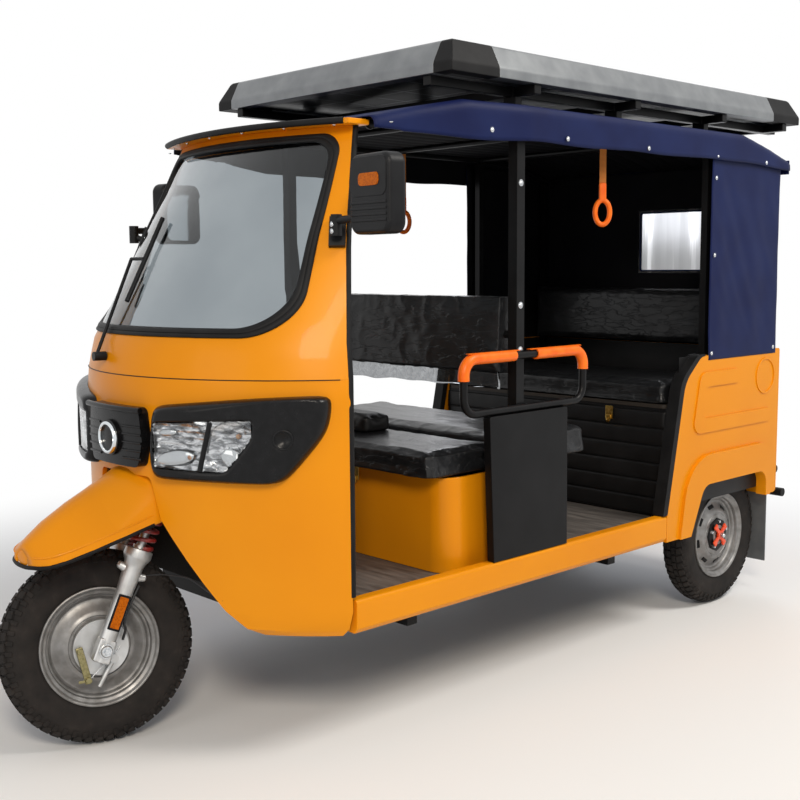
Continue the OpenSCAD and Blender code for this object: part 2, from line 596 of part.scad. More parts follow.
// Dark solar laminate, its leaning silver border with black corners and the rack that lifts it
border_w = 34;
border_lean = 34;
cap_side = 200;
cap_front = 76;
module solar_rect(inset) translate([-solar_w / 2 + inset, solar_y + inset])
  square([solar_w - 2 * inset, solar_l - 2 * inset]);
// Leaning outer face over one direction, from one edge to the other
module leaning(low, high) outline([
  [low, solar_z, 3], [high, solar_z, 3], [high, solar_z + 0.3 * solar_h, 24],
  [high - border_lean, solar_z + solar_h, 16], [low + border_lean, solar_z + solar_h, 16],
  [low, solar_z + 0.3 * solar_h, 24]]);
module solar_ring() difference() {
  intersection() {
    cross_plate([solar_y - 1, solar_y + solar_l + 1]) leaning(-solar_w / 2, solar_w / 2);
    side_plate([-solar_w / 2 - 1, solar_w / 2 + 1]) leaning(solar_y, solar_y + solar_l);
  }
  flat_plate([solar_z + 20, solar_z + 52]) solar_rect(border_w);
  flat_plate([solar_z + 51, solar_z + solar_h + 1]) solar_rect(border_w + border_lean + 10);
  flat_plate([solar_z - 1, solar_z + 21]) solar_rect(border_w + 12);
}
module corner_boxes(gap) pair() for (end = [0, 1]) {
  y = end == 0 ? solar_y - 1 : solar_y + solar_l + 1 - cap_side - gap;
  block([solar_w / 2 - cap_front - gap, solar_w / 2 + 1], [y, y + cap_side + gap], [solar_z - 1, solar_z + solar_h + 1]);
}
module solar_cells() color("#11151c")
  flat_plate([solar_z + 20 + seat_gap, solar_z + 28]) solar_rect(border_w + seat_gap);
module solar_border() color("#b9bdc1") difference() {
  solar_ring();
  corner_boxes(seat_gap);
}
module solar_corners() color("#17181a") intersection() {
  solar_ring();
  corner_boxes(0);
}
module solar_rack() color("#1a1b1d") {
  top = solar_z - seat_gap;
  foot = roof_z + seat_gap;
  pair() block([440, 470], [solar_y + 10, solar_y + solar_l - 10], [top - 28, top]);
  for (share = [0.186, 0.449, 0.722, 0.944]) {
    y = solar_y + share * solar_l;
    block([-solar_w / 2 + 10, solar_w / 2 - 10], [y, y + 30], [top - 28, top]);
    if (share < 0.9) pair() block([430, 480], [y, y + 30], [foot, top - 10]);
  }
}

// Live rear axle with its motor and differential
module rear_axle() color("#232426") {
  along_x([-track_x + 60, track_x - 60], wheelbase, axle_z, 32);
  along_x([-track_x - 30, track_x + 30], wheelbase, axle_z, 16);
  along_x([-70, 70], wheelbase, axle_z, 105);
  translate([60, wheelbase + 10, axle_z + 10]) rotate([0, 90, 0]) cylinder(r = 82, h = 150);
  pair() block([spring_x - 5, spring_x + 35], [wheelbase - 45, wheelbase + 45], [axle_z - 40, axle_z + 44]);
}
// Leaf packs between chassis and axle
module leaf_springs() color("#2b2c2e") pair() {
  for (leaf = [[0, leaf_half], [1, 0.72 * leaf_half], [2, 0.45 * leaf_half]]) difference() {
    translate([spring_x, wheelbase, leaf_z + leaf_arc]) rotate([0, 90, 0]) rotate_extrude($fn = 240)
      translate([leaf_arc - 8 - leaf[0] * 8, 0]) square([8, 30]);
    block([spring_x - 30, spring_x + 70], [wheelbase - 2000, wheelbase - leaf[1]], [0, 4000]);
    block([spring_x - 30, spring_x + 70], [wheelbase + leaf[1], wheelbase + 2000], [0, 4000]);
    block([spring_x - 30, spring_x + 70], [wheelbase - 2000, wheelbase + 2000], [1000, 4000]);
  }
}

// Fork with telescopic legs, crown and stem
module leg_frame(x) translate([x, 0, axle_z]) rotate([-rake, 0, 0]) children();
module fork() color("#c3c6c8") steered() {
  difference() {
    union() {
      for (x = [-leg_x, leg_x]) leg_frame(x) {
        translate([0, 0, -34]) cylinder(r = 24, h = 60);
        cylinder(r = leg_r, h = 296);
        translate([0, 0, 262]) cylinder(r = 38, h = 22);
        translate([0, 0, 280]) cylinder(r = 13, h = 186);
        translate([0, 0, 418]) cylinder(r = 38, h = 10);
      }
      leg_frame(0) block([-leg_x - 24, leg_x + 24], [-24, fork_offset + 26], [440, 466]);
      stem_frame() translate([0, 0, 426]) cylinder(r = stem_r, h = head_high - 426 + 30);
      along_x([-leg_x - 34, leg_x + 34], 0, axle_z, 10);
      along_x([leg_x + 22, leg_x + 40], 0, axle_z, 17);
      along_x([44, leg_x - 22], 0, axle_z, 14);
      along_x([44, 54], 0, axle_z, 76);
      bar([66, 30, axle_z - 34], [66, -16, axle_z - 104], 6);
      along_x([50, 72], 30, axle_z - 34, 12);
    }
    stem_frame() translate([0, 0, 200]) cylinder(r = 6, h = 1000);
  }
}
// Round wire wound between two heights, six flats round the wire
module coil_spring(coil, wire, low, high, turns) {
  steps = turns * 18;
  function ring(i, k) =
    let (a = 20 * i, r = coil + wire * cos(60 * k))
    [r * cos(a), r * sin(a), low + (high - low) * i / steps + wire * sin(60 * k)];
  polyhedron(
    points = [for (i = [0:steps], k = [0:5]) ring(i, k)],
    faces = concat(
      [[for (k = [0:5]) k]], [[for (k = [5:-1:0]) steps * 6 + k]],
      [for (i = [0:steps - 1], k = [0:5]) each [
        [i * 6 + k, (i + 1) * 6 + k, (i + 1) * 6 + (k + 1) % 6],
        [i * 6 + k, (i + 1) * 6 + (k + 1) % 6, i * 6 + (k + 1) % 6]]]),
    convexity = 12);
}
// Red coil springs round the upper legs
module fork_springs() color("#b3231c") steered() for (x = [-leg_x, leg_x]) leg_frame(x)
  coil_spring(31, 6, 284 + 6 * sin(60) + seat_gap, 418 - 6 * sin(60) - seat_gap, spring_turns);
// Handlebar on the head of the stem
module handlebar() color("#1b1c1e") steered() stem_frame() {
  base = head_high + 30 + seat_gap;
  difference() {
    union() {
      translate([0, 0, base]) cylinder(r = 26, h = 46);
      translate([-60, 0, base + 60]) rotate([0, 90, 0]) cylinder(r = 18, h = 120);
      for (s = [-1, 1]) {
        bar([s * 40, 0, base + 30], [s * 40, 0, base + 60], 12);
        bar([s * 40, 0, base + 60], [s * 170, 0, base + 84], 11);
        translate([s * 170, 0, base + 84]) sphere(r = 13);
        bar([s * 170, 0, base + 84], [s * 330, 96, base + 70], 11);
        bar([s * 212, 25, base + 80.3], [s * 336, 99.6, base + 69.5], 17);
      }
    }
    translate([0, 0, base - 1]) cylinder(r = 8, h = 30);
  }
}
// Rim with hub, drawn with its axle along X and its outer face towards +X
module rim(bore, disc_x, hub) difference() {
  rotate([0, 90, 0]) union() {
    rotate_extrude($fn = 96) polygon([
      [rim_r - 30, -20], [rim_r - 18, -24], [rim_r - 14, -38], [rim_r, -40], [rim_r, -44], [rim_r - 18, -44],
      [rim_r - 24, -28], [rim_r - 36, -22], [rim_r - 36, 22], [rim_r - 24, 28], [rim_r - 18, 44], [rim_r, 44],
      [rim_r, 40], [rim_r - 14, 38], [rim_r - 18, 24], [rim_r - 30, 20]]);
    rotate_extrude($fn = 96) polygon([
      [20, disc_x - 4], [90, disc_x - 4], [rim_r - 34, disc_x - 26], [rim_r - 34, disc_x - 16],
      [100, disc_x + 4], [20, disc_x + 4]]);
    translate([0, 0, hub[0]]) cylinder(r = 36, h = hub[1] - hub[0]);
  }
  rotate([0, 90, 0]) translate([0, 0, -200]) cylinder(r = bore, h = 400);
}
// Tyre section: half width at each radius, swept round the axle
module tyre() {
  bead = rim_r - 13;
  h = tyre_r - bead;
  side = [[0, 0.78], [0.1, 0.86], [0.3, 0.98], [0.5, 1], [0.68, 0.97], [0.82, 0.86], [0.93, 0.6], [0.985, 0.3], [1, 0]];
  rotate([0, 90, 0]) rotate_extrude($fn = 120) polygon(concat(
    [for (p = side) [bead + p[0] * h, -p[1] * tyre_w / 2]],
    [for (k = [len(side) - 2:-1:0]) [bead + side[k][0] * h, side[k][1] * tyre_w / 2]]));
}
module tyre_seated() difference() {
  tyre();
  rotate([0, 90, 0]) for (s = [-1, 1]) translate([0, 0, s * 43 - 4]) cylinder(r = rim_r + seat_gap, h = 8, $fn = 96);
}
module front_axle_frame() steered() translate([0, 0, axle_z]) children();
module front_rim() color("#b9bcbe") front_axle_frame() difference() {
  rim(10 + pin_gap, 30, [-60, 34]);
  rotate([0, 90, 0]) translate([0, 0, 40]) cylinder(r = 78, h = 30);
}
module front_tyre() color("#1c1c1c") front_axle_frame() tyre_seated();
module at_rear(side) translate([side * track_x, wheelbase, axle_z]) children();
module rear_left_rim() color("#b9bcbe") at_rear(1) rim(16 + pin_gap, 30, [-50, 44]);
module rear_left_tyre() color("#1c1c1c") at_rear(1) tyre_seated();
module rear_right_rim() color("#b9bcbe") at_rear(-1) mirror([1, 0, 0]) rim(16 + pin_gap, 30, [-50, 44]);
module rear_right_tyre() color("#1c1c1c") at_rear(-1) tyre_seated();

place() {
  chassis_frame();
  rear_frame();
  head_frame();
  floor_pan();
  sills();
  cowl();
  screen_frame();
  screen_glass();
  screen_rubber();
  visor();
  headlamp_bezels();
  headlamp_lenses();
  nose_grille();
  front_fender();
  wheel_well();
  instrument_shelf();
  wiper();
  mirrors();
  posts();
  roof_frame();
  side_panels();
  handrails();
  handrail_grips();
  canopy_roof();
  canopy_rear();
  rear_window();
  quarter_panels();
  quarter_trims();
  tail_panel();
  tail_lamps();
  rear_bumper();
  mud_flaps();
  front_seat_box();
  battery_pack();
  driver_cushion();
  middle_cushion();
  middle_backrest();
  driver_pad();
  rear_seat_box();
  rear_backrest();
  hand_straps();
  solar_cells();
  solar_border();
  solar_corners();
  solar_rack();
  rear_axle();
  leaf_springs();
  rear_seat_board();
  rear_cushion();
  fork();
  fork_springs();
  handlebar();
  front_rim();
  front_tyre();
  rear_left_rim();
  rear_left_tyre();
  rear_right_rim();
  rear_right_tyre();
}
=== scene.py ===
# An electric passenger tricycle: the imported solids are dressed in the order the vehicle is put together,
# from the welded frame to the solar roof, and lit in a plain pale studio.
import json
import math

import bmesh
import bpy
from mathutils import Matrix, Vector, noise

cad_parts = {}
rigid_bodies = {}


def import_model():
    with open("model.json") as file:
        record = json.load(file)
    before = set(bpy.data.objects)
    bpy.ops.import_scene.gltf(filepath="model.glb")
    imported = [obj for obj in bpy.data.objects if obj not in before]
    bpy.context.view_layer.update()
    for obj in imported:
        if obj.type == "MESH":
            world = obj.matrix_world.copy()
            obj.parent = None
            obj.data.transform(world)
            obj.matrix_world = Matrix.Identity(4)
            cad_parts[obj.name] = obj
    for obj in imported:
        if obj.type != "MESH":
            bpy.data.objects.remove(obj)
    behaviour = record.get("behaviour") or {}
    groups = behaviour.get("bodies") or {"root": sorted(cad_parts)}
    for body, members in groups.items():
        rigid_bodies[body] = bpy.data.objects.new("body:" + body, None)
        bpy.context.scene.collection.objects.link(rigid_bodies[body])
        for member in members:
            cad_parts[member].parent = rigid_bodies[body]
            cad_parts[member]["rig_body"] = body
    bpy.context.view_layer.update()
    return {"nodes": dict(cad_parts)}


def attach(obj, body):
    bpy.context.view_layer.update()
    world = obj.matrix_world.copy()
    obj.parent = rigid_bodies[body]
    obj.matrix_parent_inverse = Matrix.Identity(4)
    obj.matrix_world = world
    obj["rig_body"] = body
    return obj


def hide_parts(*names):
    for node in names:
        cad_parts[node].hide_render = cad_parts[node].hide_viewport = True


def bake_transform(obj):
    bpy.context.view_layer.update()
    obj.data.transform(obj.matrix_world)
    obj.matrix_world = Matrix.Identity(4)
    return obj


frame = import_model()
# Pieces are drawn from the centre plane, the front axle datum and the road; the frame's origin lies this far away.
ORIGIN = Vector((-0.087, -1.300, 0))


# ---- Camera and studio
# The photograph was taken standing at the vehicle's front left corner, a little below the roof, with a lens of
# about fifty millimetres. The studio is a white floor that fades into a white room, under soft even light.
def lin(code):
    parts = [int(code[i:i + 2], 16) / 255 for i in (1, 3, 5)]
    return tuple(c / 12.92 if c <= 0.04045 else ((c + 0.055) / 1.055) ** 2.4 for c in parts) + (1.0,)


def node(tree, kind, ins=None, stops=(), **settings):
    made = tree.nodes.new("ShaderNode" + kind)
    while stops and len(made.color_ramp.elements) < len(stops):
        made.color_ramp.elements.new(0.5)
    for element, (place, colour) in zip(made.color_ramp.elements if stops else (), stops):
        element.position = place
        element.color = lin(colour)
    for key, value in settings.items():
        setattr(made, key, value)
    for key, value in (ins or {}).items():
        if isinstance(value, bpy.types.NodeSocket):
            tree.links.new(value, made.inputs[key])
        else:
            made.inputs[key].default_value = value
    return made


def shown(name, data):
    made = bpy.data.objects.new(name, data)
    bpy.context.scene.collection.objects.link(made)
    return made


YAW, PITCH, ROLL = 0.8129, 0.1165, -0.0075
ahead = Vector((-math.sin(YAW) * math.cos(PITCH), math.cos(YAW) * math.cos(PITCH), -math.sin(PITCH)))
right = Vector((math.cos(YAW), math.sin(YAW), 0))
above = right.cross(ahead)
turned_right = right * math.cos(ROLL) + above * math.sin(ROLL)
upright = above * math.cos(ROLL) - right * math.sin(ROLL)
stand = Vector((2.8396, -1.4892, 1.3158)) + ORIGIN
eye = bpy.data.cameras.new("eye")
eye.sensor_width = 36
eye.lens = 1145.56 * 36 / 800
eye.clip_end = 100
viewer = shown("viewer", eye)
viewer.matrix_world = Matrix((
    (turned_right.x, upright.x, -ahead.x, stand.x),
    (turned_right.y, upright.y, -ahead.y, stand.y),
    (turned_right.z, upright.z, -ahead.z, stand.z),
    (0, 0, 0, 1)))
bpy.context.scene.camera = viewer


def seen_directly(tree):
    path = node(tree, "LightPath")
    first = node(tree, "Math", {0: path.outputs["Is Camera Ray"], 1: path.outputs["Is Transmission Ray"]},
                 operation="MAXIMUM")
    return node(tree, "Math", {0: first.outputs[0], 1: path.outputs["Is Glossy Ray"]},
                operation="MAXIMUM").outputs[0]


world = bpy.data.worlds.new("studio_air")
bpy.context.scene.world = world
world.use_nodes = True
air = world.node_tree
air.nodes.clear()
soft = node(air, "Background", {"Color": lin("#F2F6FC"), "Strength": 0.34})
white = node(air, "Background", {"Color": (1, 1, 1, 1), "Strength": 1.0})
both = node(air, "MixShader", {0: seen_directly(air), 1: soft.outputs[0], 2: white.outputs[0]})
node(air, "OutputWorld", {0: both.outputs[0]})
bpy.context.scene.view_settings.view_transform = "Standard"


def lamp(name, place, target, size, power, colour):
    light = bpy.data.lights.new(name, "AREA")
    light.size = size
    light.energy = power
    light.color = lin(colour)[:3]
    holder = shown(name, light)
    holder.location = Vector(place) + ORIGIN
    holder.rotation_euler = (Vector(target) - Vector(place)).to_track_quat("-Z", "Y").to_euler()


lamp("key_light", (4.2, -2.4, 3.9), (0, 0.9, 0.7), 1.4, 165, "#FFF4E4")
lamp("side_light", (2.9, 2.5, 4.1), (0.3, 1.7, 0.7), 1.5, 110, "#FFFAF2")
lamp("front_light", (0.6, -4.6, 2.4), (0, 0.3, 0.7), 2.6, 30, "#FFF9F0")
lamp("rear_light", (-2.4, 5.6, 2.7), (0, 2.2, 0.9), 2.6, 55, "#F6F8FF")

floor_mesh = bpy.data.meshes.new("studio_floor")
shape = bmesh.new()
bmesh.ops.create_grid(shape, x_segments=1, y_segments=1, size=30)
shape.to_mesh(floor_mesh)
shape.free()
studio_floor = shown("studio_floor", floor_mesh)
# White paper: matt, and from 1.5 m to 3.6 m out it fades into the bright room.
paper = bpy.data.materials.new("white_paper")
paper.use_nodes = True
tree = paper.node_tree
shader = tree.nodes["Principled BSDF"]
shader.inputs["Base Color"].default_value = lin("#F4F4F4")
shader.inputs["Roughness"].default_value = 0.9
reach = node(tree, "VectorMath", {0: node(tree, "TexCoord").outputs["Object"]}, operation="LENGTH")
fade = node(tree, "MapRange", {"Value": reach.outputs["Value"], "From Min": 1.5, "From Max": 3.6},
            interpolation_type="SMOOTHSTEP")
share = node(tree, "Math", {0: fade.outputs[0], 1: seen_directly(tree)}, operation="MULTIPLY")
glow = node(tree, "Emission", {"Color": (1, 1, 1, 1), "Strength": 1.0})
both = node(tree, "MixShader", {0: share.outputs[0], 1: shader.outputs[0], 2: glow.outputs[0]})
tree.links.new(both.outputs[0], tree.nodes["Material Output"].inputs[0])
floor_mesh.materials.append(paper)


def substance(name, **sockets):
    made = bpy.data.materials.new(name)
    made.use_nodes = True
    shader = made.node_tree.nodes["Principled BSDF"]
    for key, value in sockets.items():
        shader.inputs[key.replace("_", " ")].default_value = value
    return made, made.node_tree, shader


# A finish runs a texture of the real size through its tones. The same texture, or a finer one, lifts the skin, and the
# first may dull the gloss in its own patches. Textures are given as their kind, scale, detail and distortion.
def finish(name, tones, cloud, skin=None, bump=0.0, deep=0.001, dull=None, stretch=None, **sockets):
    made, tree, shader = substance(name, **sockets)
    place = node(tree, "TexCoord").outputs["Object"]
    if stretch:
        place = node(tree, "Mapping", {"Vector": place, "Scale": stretch}).outputs[0]
    marks = []
    for kind, *sizes in [cloud] + ([skin] if skin else []):
        banded = {"bands_direction": "Z"} if kind == "TexWave" else {}
        mark = node(tree, kind, dict(zip(("Scale", "Detail", "Distortion"), sizes), Vector=place), **banded)
        marks.append(mark.outputs["Fac" if banded else 0])
    tree.links.new(node(tree, "ValToRGB", {0: marks[0]}, tones).outputs[0], shader.inputs["Base Color"])
    if dull:
        patches = node(tree, "MapRange", {"Value": marks[0], "To Min": dull[0], "To Max": dull[1]})
        tree.links.new(patches.outputs[0], shader.inputs["Roughness"])
    if bump:
        relief = node(tree, "Bump", {"Strength": bump, "Distance": deep, "Height": marks[-1]})
        tree.links.new(relief.outputs[0], shader.inputs["Normal"])
    return made


def piece(name, body, shape, material, replaced=(), smooth=35):
    bmesh.ops.translate(shape, vec=ORIGIN, verts=shape.verts)
    mesh = bpy.data.meshes.new(name)
    shape.to_mesh(mesh)
    shape.free()
    made = shown(name, mesh)
    for item in material if isinstance(material, (list, tuple)) else [material]:
        mesh.materials.append(item)
    mesh.shade_smooth()
    mesh.set_sharp_from_angle(angle=math.radians(smooth))
    weigh = made.modifiers.new("even_normals", "WEIGHTED_NORMAL")
    weigh.keep_sharp = True
    if body:
        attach(made, body)
    if replaced:
        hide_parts(*replaced)
    return made


def every(shape):
    return shape.verts[:] + shape.edges[:] + shape.faces[:]


def merged(name, cuts=()):
    shape = bmesh.new()
    shape.from_mesh(frame["nodes"][name].data)
    bmesh.ops.translate(shape, vec=-ORIGIN, verts=shape.verts)
    bmesh.ops.remove_doubles(shape, verts=shape.verts, dist=2e-5)
    for point, normal in cuts:
        cut = bmesh.ops.bisect_plane(shape, geom=every(shape), dist=1e-6,
                                     plane_co=point, plane_no=normal)
        for edge in cut["geom_cut"]:
            if isinstance(edge, bmesh.types.BMEdge):
                edge.seam = True
    bmesh.ops.dissolve_limit(shape, angle_limit=math.radians(0.4), verts=shape.verts, edges=shape.edges,
                             use_dissolve_boundaries=False, delimit={"SEAM"})
    return shape


def rounded(shape, edges, width, segments):
    bmesh.ops.bevel(shape, geom=edges, offset=width, offset_type="OFFSET", segments=segments, profile=0.5,
                    affect="EDGES", clamp_overlap=True, material=-1)
    return shape


def ease(shape, width, angle=38, segments=2):
    sharp = [e for e in shape.edges if len(e.link_faces) == 2 and e.calc_face_angle(0) > math.radians(angle)]
    return rounded(shape, sharp, width, segments)


def dressed(name, material, width=0.0015, angle=38, segments=2, smooth=35, cuts=()):
    body = frame["nodes"][name]["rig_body"]
    shape = ease(merged(name, cuts), width, angle, segments)
    return piece(name + "_dressed", body, shape, material, [name], smooth)


def thicken(made, name, thickness, offset=-1.0, inner=0):
    wall = made.modifiers.new(name, "SOLIDIFY")
    wall.thickness = thickness
    wall.offset = offset
    wall.material_offset = inner


# Black enamel over steel: satin, almost neutral, a little dust in broad clouds of about 100 mm and spray grit of 2 mm.
black_steel = finish("black_enamelled_steel", [(0.35, "#0D0D0E"), (0.75, "#161617")], ("TexNoise", 9.0, 6.0),
                     ("TexNoise", 420.0, 2.0), 0.06, Roughness=0.34, Specular_IOR_Level=0.14)
for name in ("chassis_frame", "rear_frame", "head_frame", "posts", "roof_frame", "solar_rack", "rear_axle",
             "leaf_springs", "handlebar"):
    dressed(name, black_steel, 0.002)


# Zinc-plated screws: small bright domes on a washer, turned from one profile and set square to what they hold.
def spun(profile, steps=48, closed=False):
    shape = bmesh.new()
    line = [shape.verts.new((along, 0, radius)) for radius, along in profile]
    pairs = list(zip(line, line[1:])) + ([(line[-1], line[0])] if closed else [])
    edges = [shape.edges.new(pair) for pair in pairs]
    bmesh.ops.spin(shape, geom=line + edges, cent=(0, 0, 0), axis=(1, 0, 0), angle=2 * math.pi, steps=steps,
                   use_merge=True)
    bmesh.ops.remove_doubles(shape, verts=shape.verts, dist=1e-6)
    bmesh.ops.recalc_face_normals(shape, faces=shape.faces)
    return shape


moved = Matrix.Translation


def turned(degrees, axis):
    return Matrix.Rotation(math.radians(degrees), 4, axis)


def facing(normal, place):
    return moved(place) @ Vector(normal).to_track_quat("X", "Z").to_matrix().to_4x4()


def placed(shape, matrix):
    shape.transform(matrix)
    if matrix.determinant() < 0:
        bmesh.ops.reverse_faces(shape, faces=shape.faces)
    return shape


def joined(shapes):
    whole = bmesh.new()
    for shape in shapes:
        mesh = bpy.data.meshes.new("share")
        shape.to_mesh(mesh)
        shape.free()
        whole.from_mesh(mesh)
        bpy.data.meshes.remove(mesh)
    return whole


def screw(place, normal, size=0.006):
    dome = [(0, 0.62), (0.35, 0.58), (0.65, 0.44), (0.85, 0.24), (0.9, 0.1), (1.35, 0.1), (1.4, 0),
            (1.4, -0.3), (0, -0.3)]
    return placed(spun([(r * size, x * size) for r, x in dome], 16), facing(normal, place))


# Zinc plate gives a bright, slightly blue-grey mirror with a fine haze of 4 mm.
zinc = finish("zinc_plated_steel", [(0.3, "#B9BDC1"), (0.7, "#D9DBDC")], ("TexNoise", 260.0, 3.0),
              dull=(0.16, 0.34), Metallic=1.0)
SIDES = (1, -1)
screws = []
for s in SIDES:
    screws += [screw((s * 0.5679, 1.166, z), (s, 0, 0), 0.0075) for z in (1.195, 1.060, 1.560)]
    screws += [screw((s * 0.5679, 1.149 + 0.034 * k, 1.700), (s, 0, 0), 0.005) for k in (0, 1)]
piece("post_screws", "body", joined(screws), zinc)


# ---- Wheels
# Twelve-inch pressed steel rims in silver paint carry cross-ply tyres with blocky tread: a stagger of centre blocks,
# chunky shoulder blocks and a lug below each on the sidewall. The carcass is spun and the blocks stepped round it.
def lump(low, high, rounding=0.002, segments=2):
    low, high = Vector(low), Vector(high)
    shape = bmesh.new()
    bmesh.ops.create_cube(shape, size=1)
    bmesh.ops.scale(shape, vec=high - low, verts=shape.verts)
    bmesh.ops.translate(shape, vec=(low + high) / 2, verts=shape.verts)
    if rounding:
        rounded(shape, shape.edges[:], rounding, segments)
    return shape


def tyre_shape():
    half = [(0.157, 0.0365), (0.166, 0.0405), (0.172, 0.0425), (0.1735, 0.0437), (0.1775, 0.0440),
            (0.179, 0.0450), (0.190, 0.0468), (0.205, 0.0478), (0.220, 0.0474), (0.2215, 0.0464),
            (0.2245, 0.0462), (0.2260, 0.0464), (0.237, 0.0440), (0.246, 0.0400), (0.253, 0.0340),
            (0.2585, 0.0240), (0.2610, 0.0120), (0.2615, 0.0)]
    carcass = spun(half + [(r, -x) for r, x in half[-2::-1]], 96)
    pitch = 54
    step = 2 * math.pi / pitch
    blocks = []
    for s in SIDES:
        centre = placed(lump((-0.0075, -0.0125, -0.006), (0.0075, 0.0125, 0.0045), 0.0012, 1),
                        Matrix.Rotation(s * step / 4, 4, "X") @ moved((s * 0.0095, 0, 0.2630)))
        shoulder = placed(lump((-0.0105, -0.0110, -0.006), (0.0105, 0.0110, 0.0055), 0.0014, 1),
                          Matrix.Rotation(s * step / 4, 4, "X") @ moved((s * 0.0290, 0, 0.2560))
                          @ Matrix.Rotation(s * math.radians(27), 4, "Y") @ Matrix.Rotation(s * 0.18, 4, "Z"))
        lug = placed(lump((-0.003, -0.0065, -0.0095), (0.0022, 0.0065, 0.0095), 0.001, 1),
                     Matrix.Rotation(-s * step / 5, 4, "X") @ moved((s * 0.0424, 0, 0.2430))
                     @ Matrix.Rotation(-s * math.radians(24), 4, "Y"))
        blocks += [centre, shoulder, lug]
    tread = joined(blocks)
    bmesh.ops.spin(tread, geom=every(tread), cent=(0, 0, 0), axis=(1, 0, 0),
                   angle=2 * math.pi, steps=pitch, use_duplicate=True)
    bmesh.ops.remove_doubles(tread, verts=tread.verts, dist=1e-6)
    return joined([carcass, tread])


# Tyre rubber: dark, brownish from road dust, which lies in patches of about 40 mm and dulls the tread.
rubber = finish("tyre_rubber", [(0.3, "#1B1918"), (0.62, "#282422"), (0.85, "#3A3531")],
                ("TexNoise", 24.0, 5.0), ("TexNoise", 700.0, 2.0), 0.18, Roughness=0.75,
                Specular_IOR_Level=0.2)

# Silver paint on pressed steel: grey, metallic, broad highlights, dulled by brake dust in blotches of about 30 mm.
silver = finish("silver_painted_steel", [(0.3, "#6F6D6B"), (0.65, "#8E8D8C")], ("TexNoise", 30.0, 6.0),
                ("TexNoise", 520.0, 1.0), 0.05, dull=(0.48, 0.34), Metallic=0.6)

RAKE, STEER = math.radians(25), math.radians(-19)
AXLE_Z, REAR_AXLE_Y, HALF_TRACK = 0.268, 2.410, 0.475
stem_foot = Vector((0, 0.035 / math.cos(RAKE), AXLE_Z))
steered = (moved(Vector((0, 0.030, 0)) + stem_foot) @ Matrix.Rotation(-RAKE, 4, "X")
           @ Matrix.Rotation(STEER, 4, "Z") @ Matrix.Rotation(RAKE, 4, "X") @ moved(-stem_foot))
front_hub = steered @ moved((0, 0, AXLE_Z))
flip = Matrix.Scale(-1, 4, (1, 0, 0))
left_hub = moved((HALF_TRACK, REAR_AXLE_Y, AXLE_Z))
right_hub = moved((-HALF_TRACK, REAR_AXLE_Y, AXLE_Z)) @ flip
for side, hub in (("front", front_hub), ("rear_left", left_hub), ("rear_right", right_hub)):
    piece(f"{side}_tyre_treaded", f"{side}_wheel", placed(tyre_shape(), hub), rubber,
          [f"{side}_tyre"])


def rim_shape(hub_face):
    lip = [(0.1655, 0.0440), (0.1645, 0.0462), (0.1615, 0.0470), (0.1580, 0.0455), (0.1555, 0.0415),
           (0.1525, 0.0390), (0.1485, 0.0382), (0.1455, 0.0360), (0.1435, 0.0300), (0.1425, 0.0262),
           (0.1385, 0.0248), (0.1360, 0.0215), (0.1335, 0.0150), (0.1290, 0.0122), (0.1220, 0.0128),
           (0.1090, 0.0200), (0.0990, 0.0275), (0.0930, 0.0310), (0.0860, 0.0325), (0.0840, 0.0305),
           (0.0800, 0.0305), (0.0780, 0.0325)]
    hub = [(0.0400, 0.0330), (0.0370, hub_face), (0.0190, hub_face), (0.0185, 0.0265)]
    inner = [(0.0900, 0.0265), (0.1270, 0.0050), (0.1290, -0.0220), (0.1400, -0.0280), (0.1480, -0.0430),
             (0.1655, -0.0440), (0.1655, -0.0405), (0.1530, -0.0370), (0.1490, -0.0200), (0.1490, 0.0200),
             (0.1530, 0.0370), (0.1655, 0.0405)]
    return spun(lip + hub + inner, 80, closed=True)


def hub_barrel(reach, radius):
    return spun([(0.0185, 0.020), (radius, 0.020), (radius, reach), (0.0185, reach)], 40, closed=True)


piece("front_rim_pressed", "front_wheel",
      placed(joined([rim_shape(0.0345), hub_barrel(-0.058, 0.035)]), front_hub), silver,
      ["front_rim"])
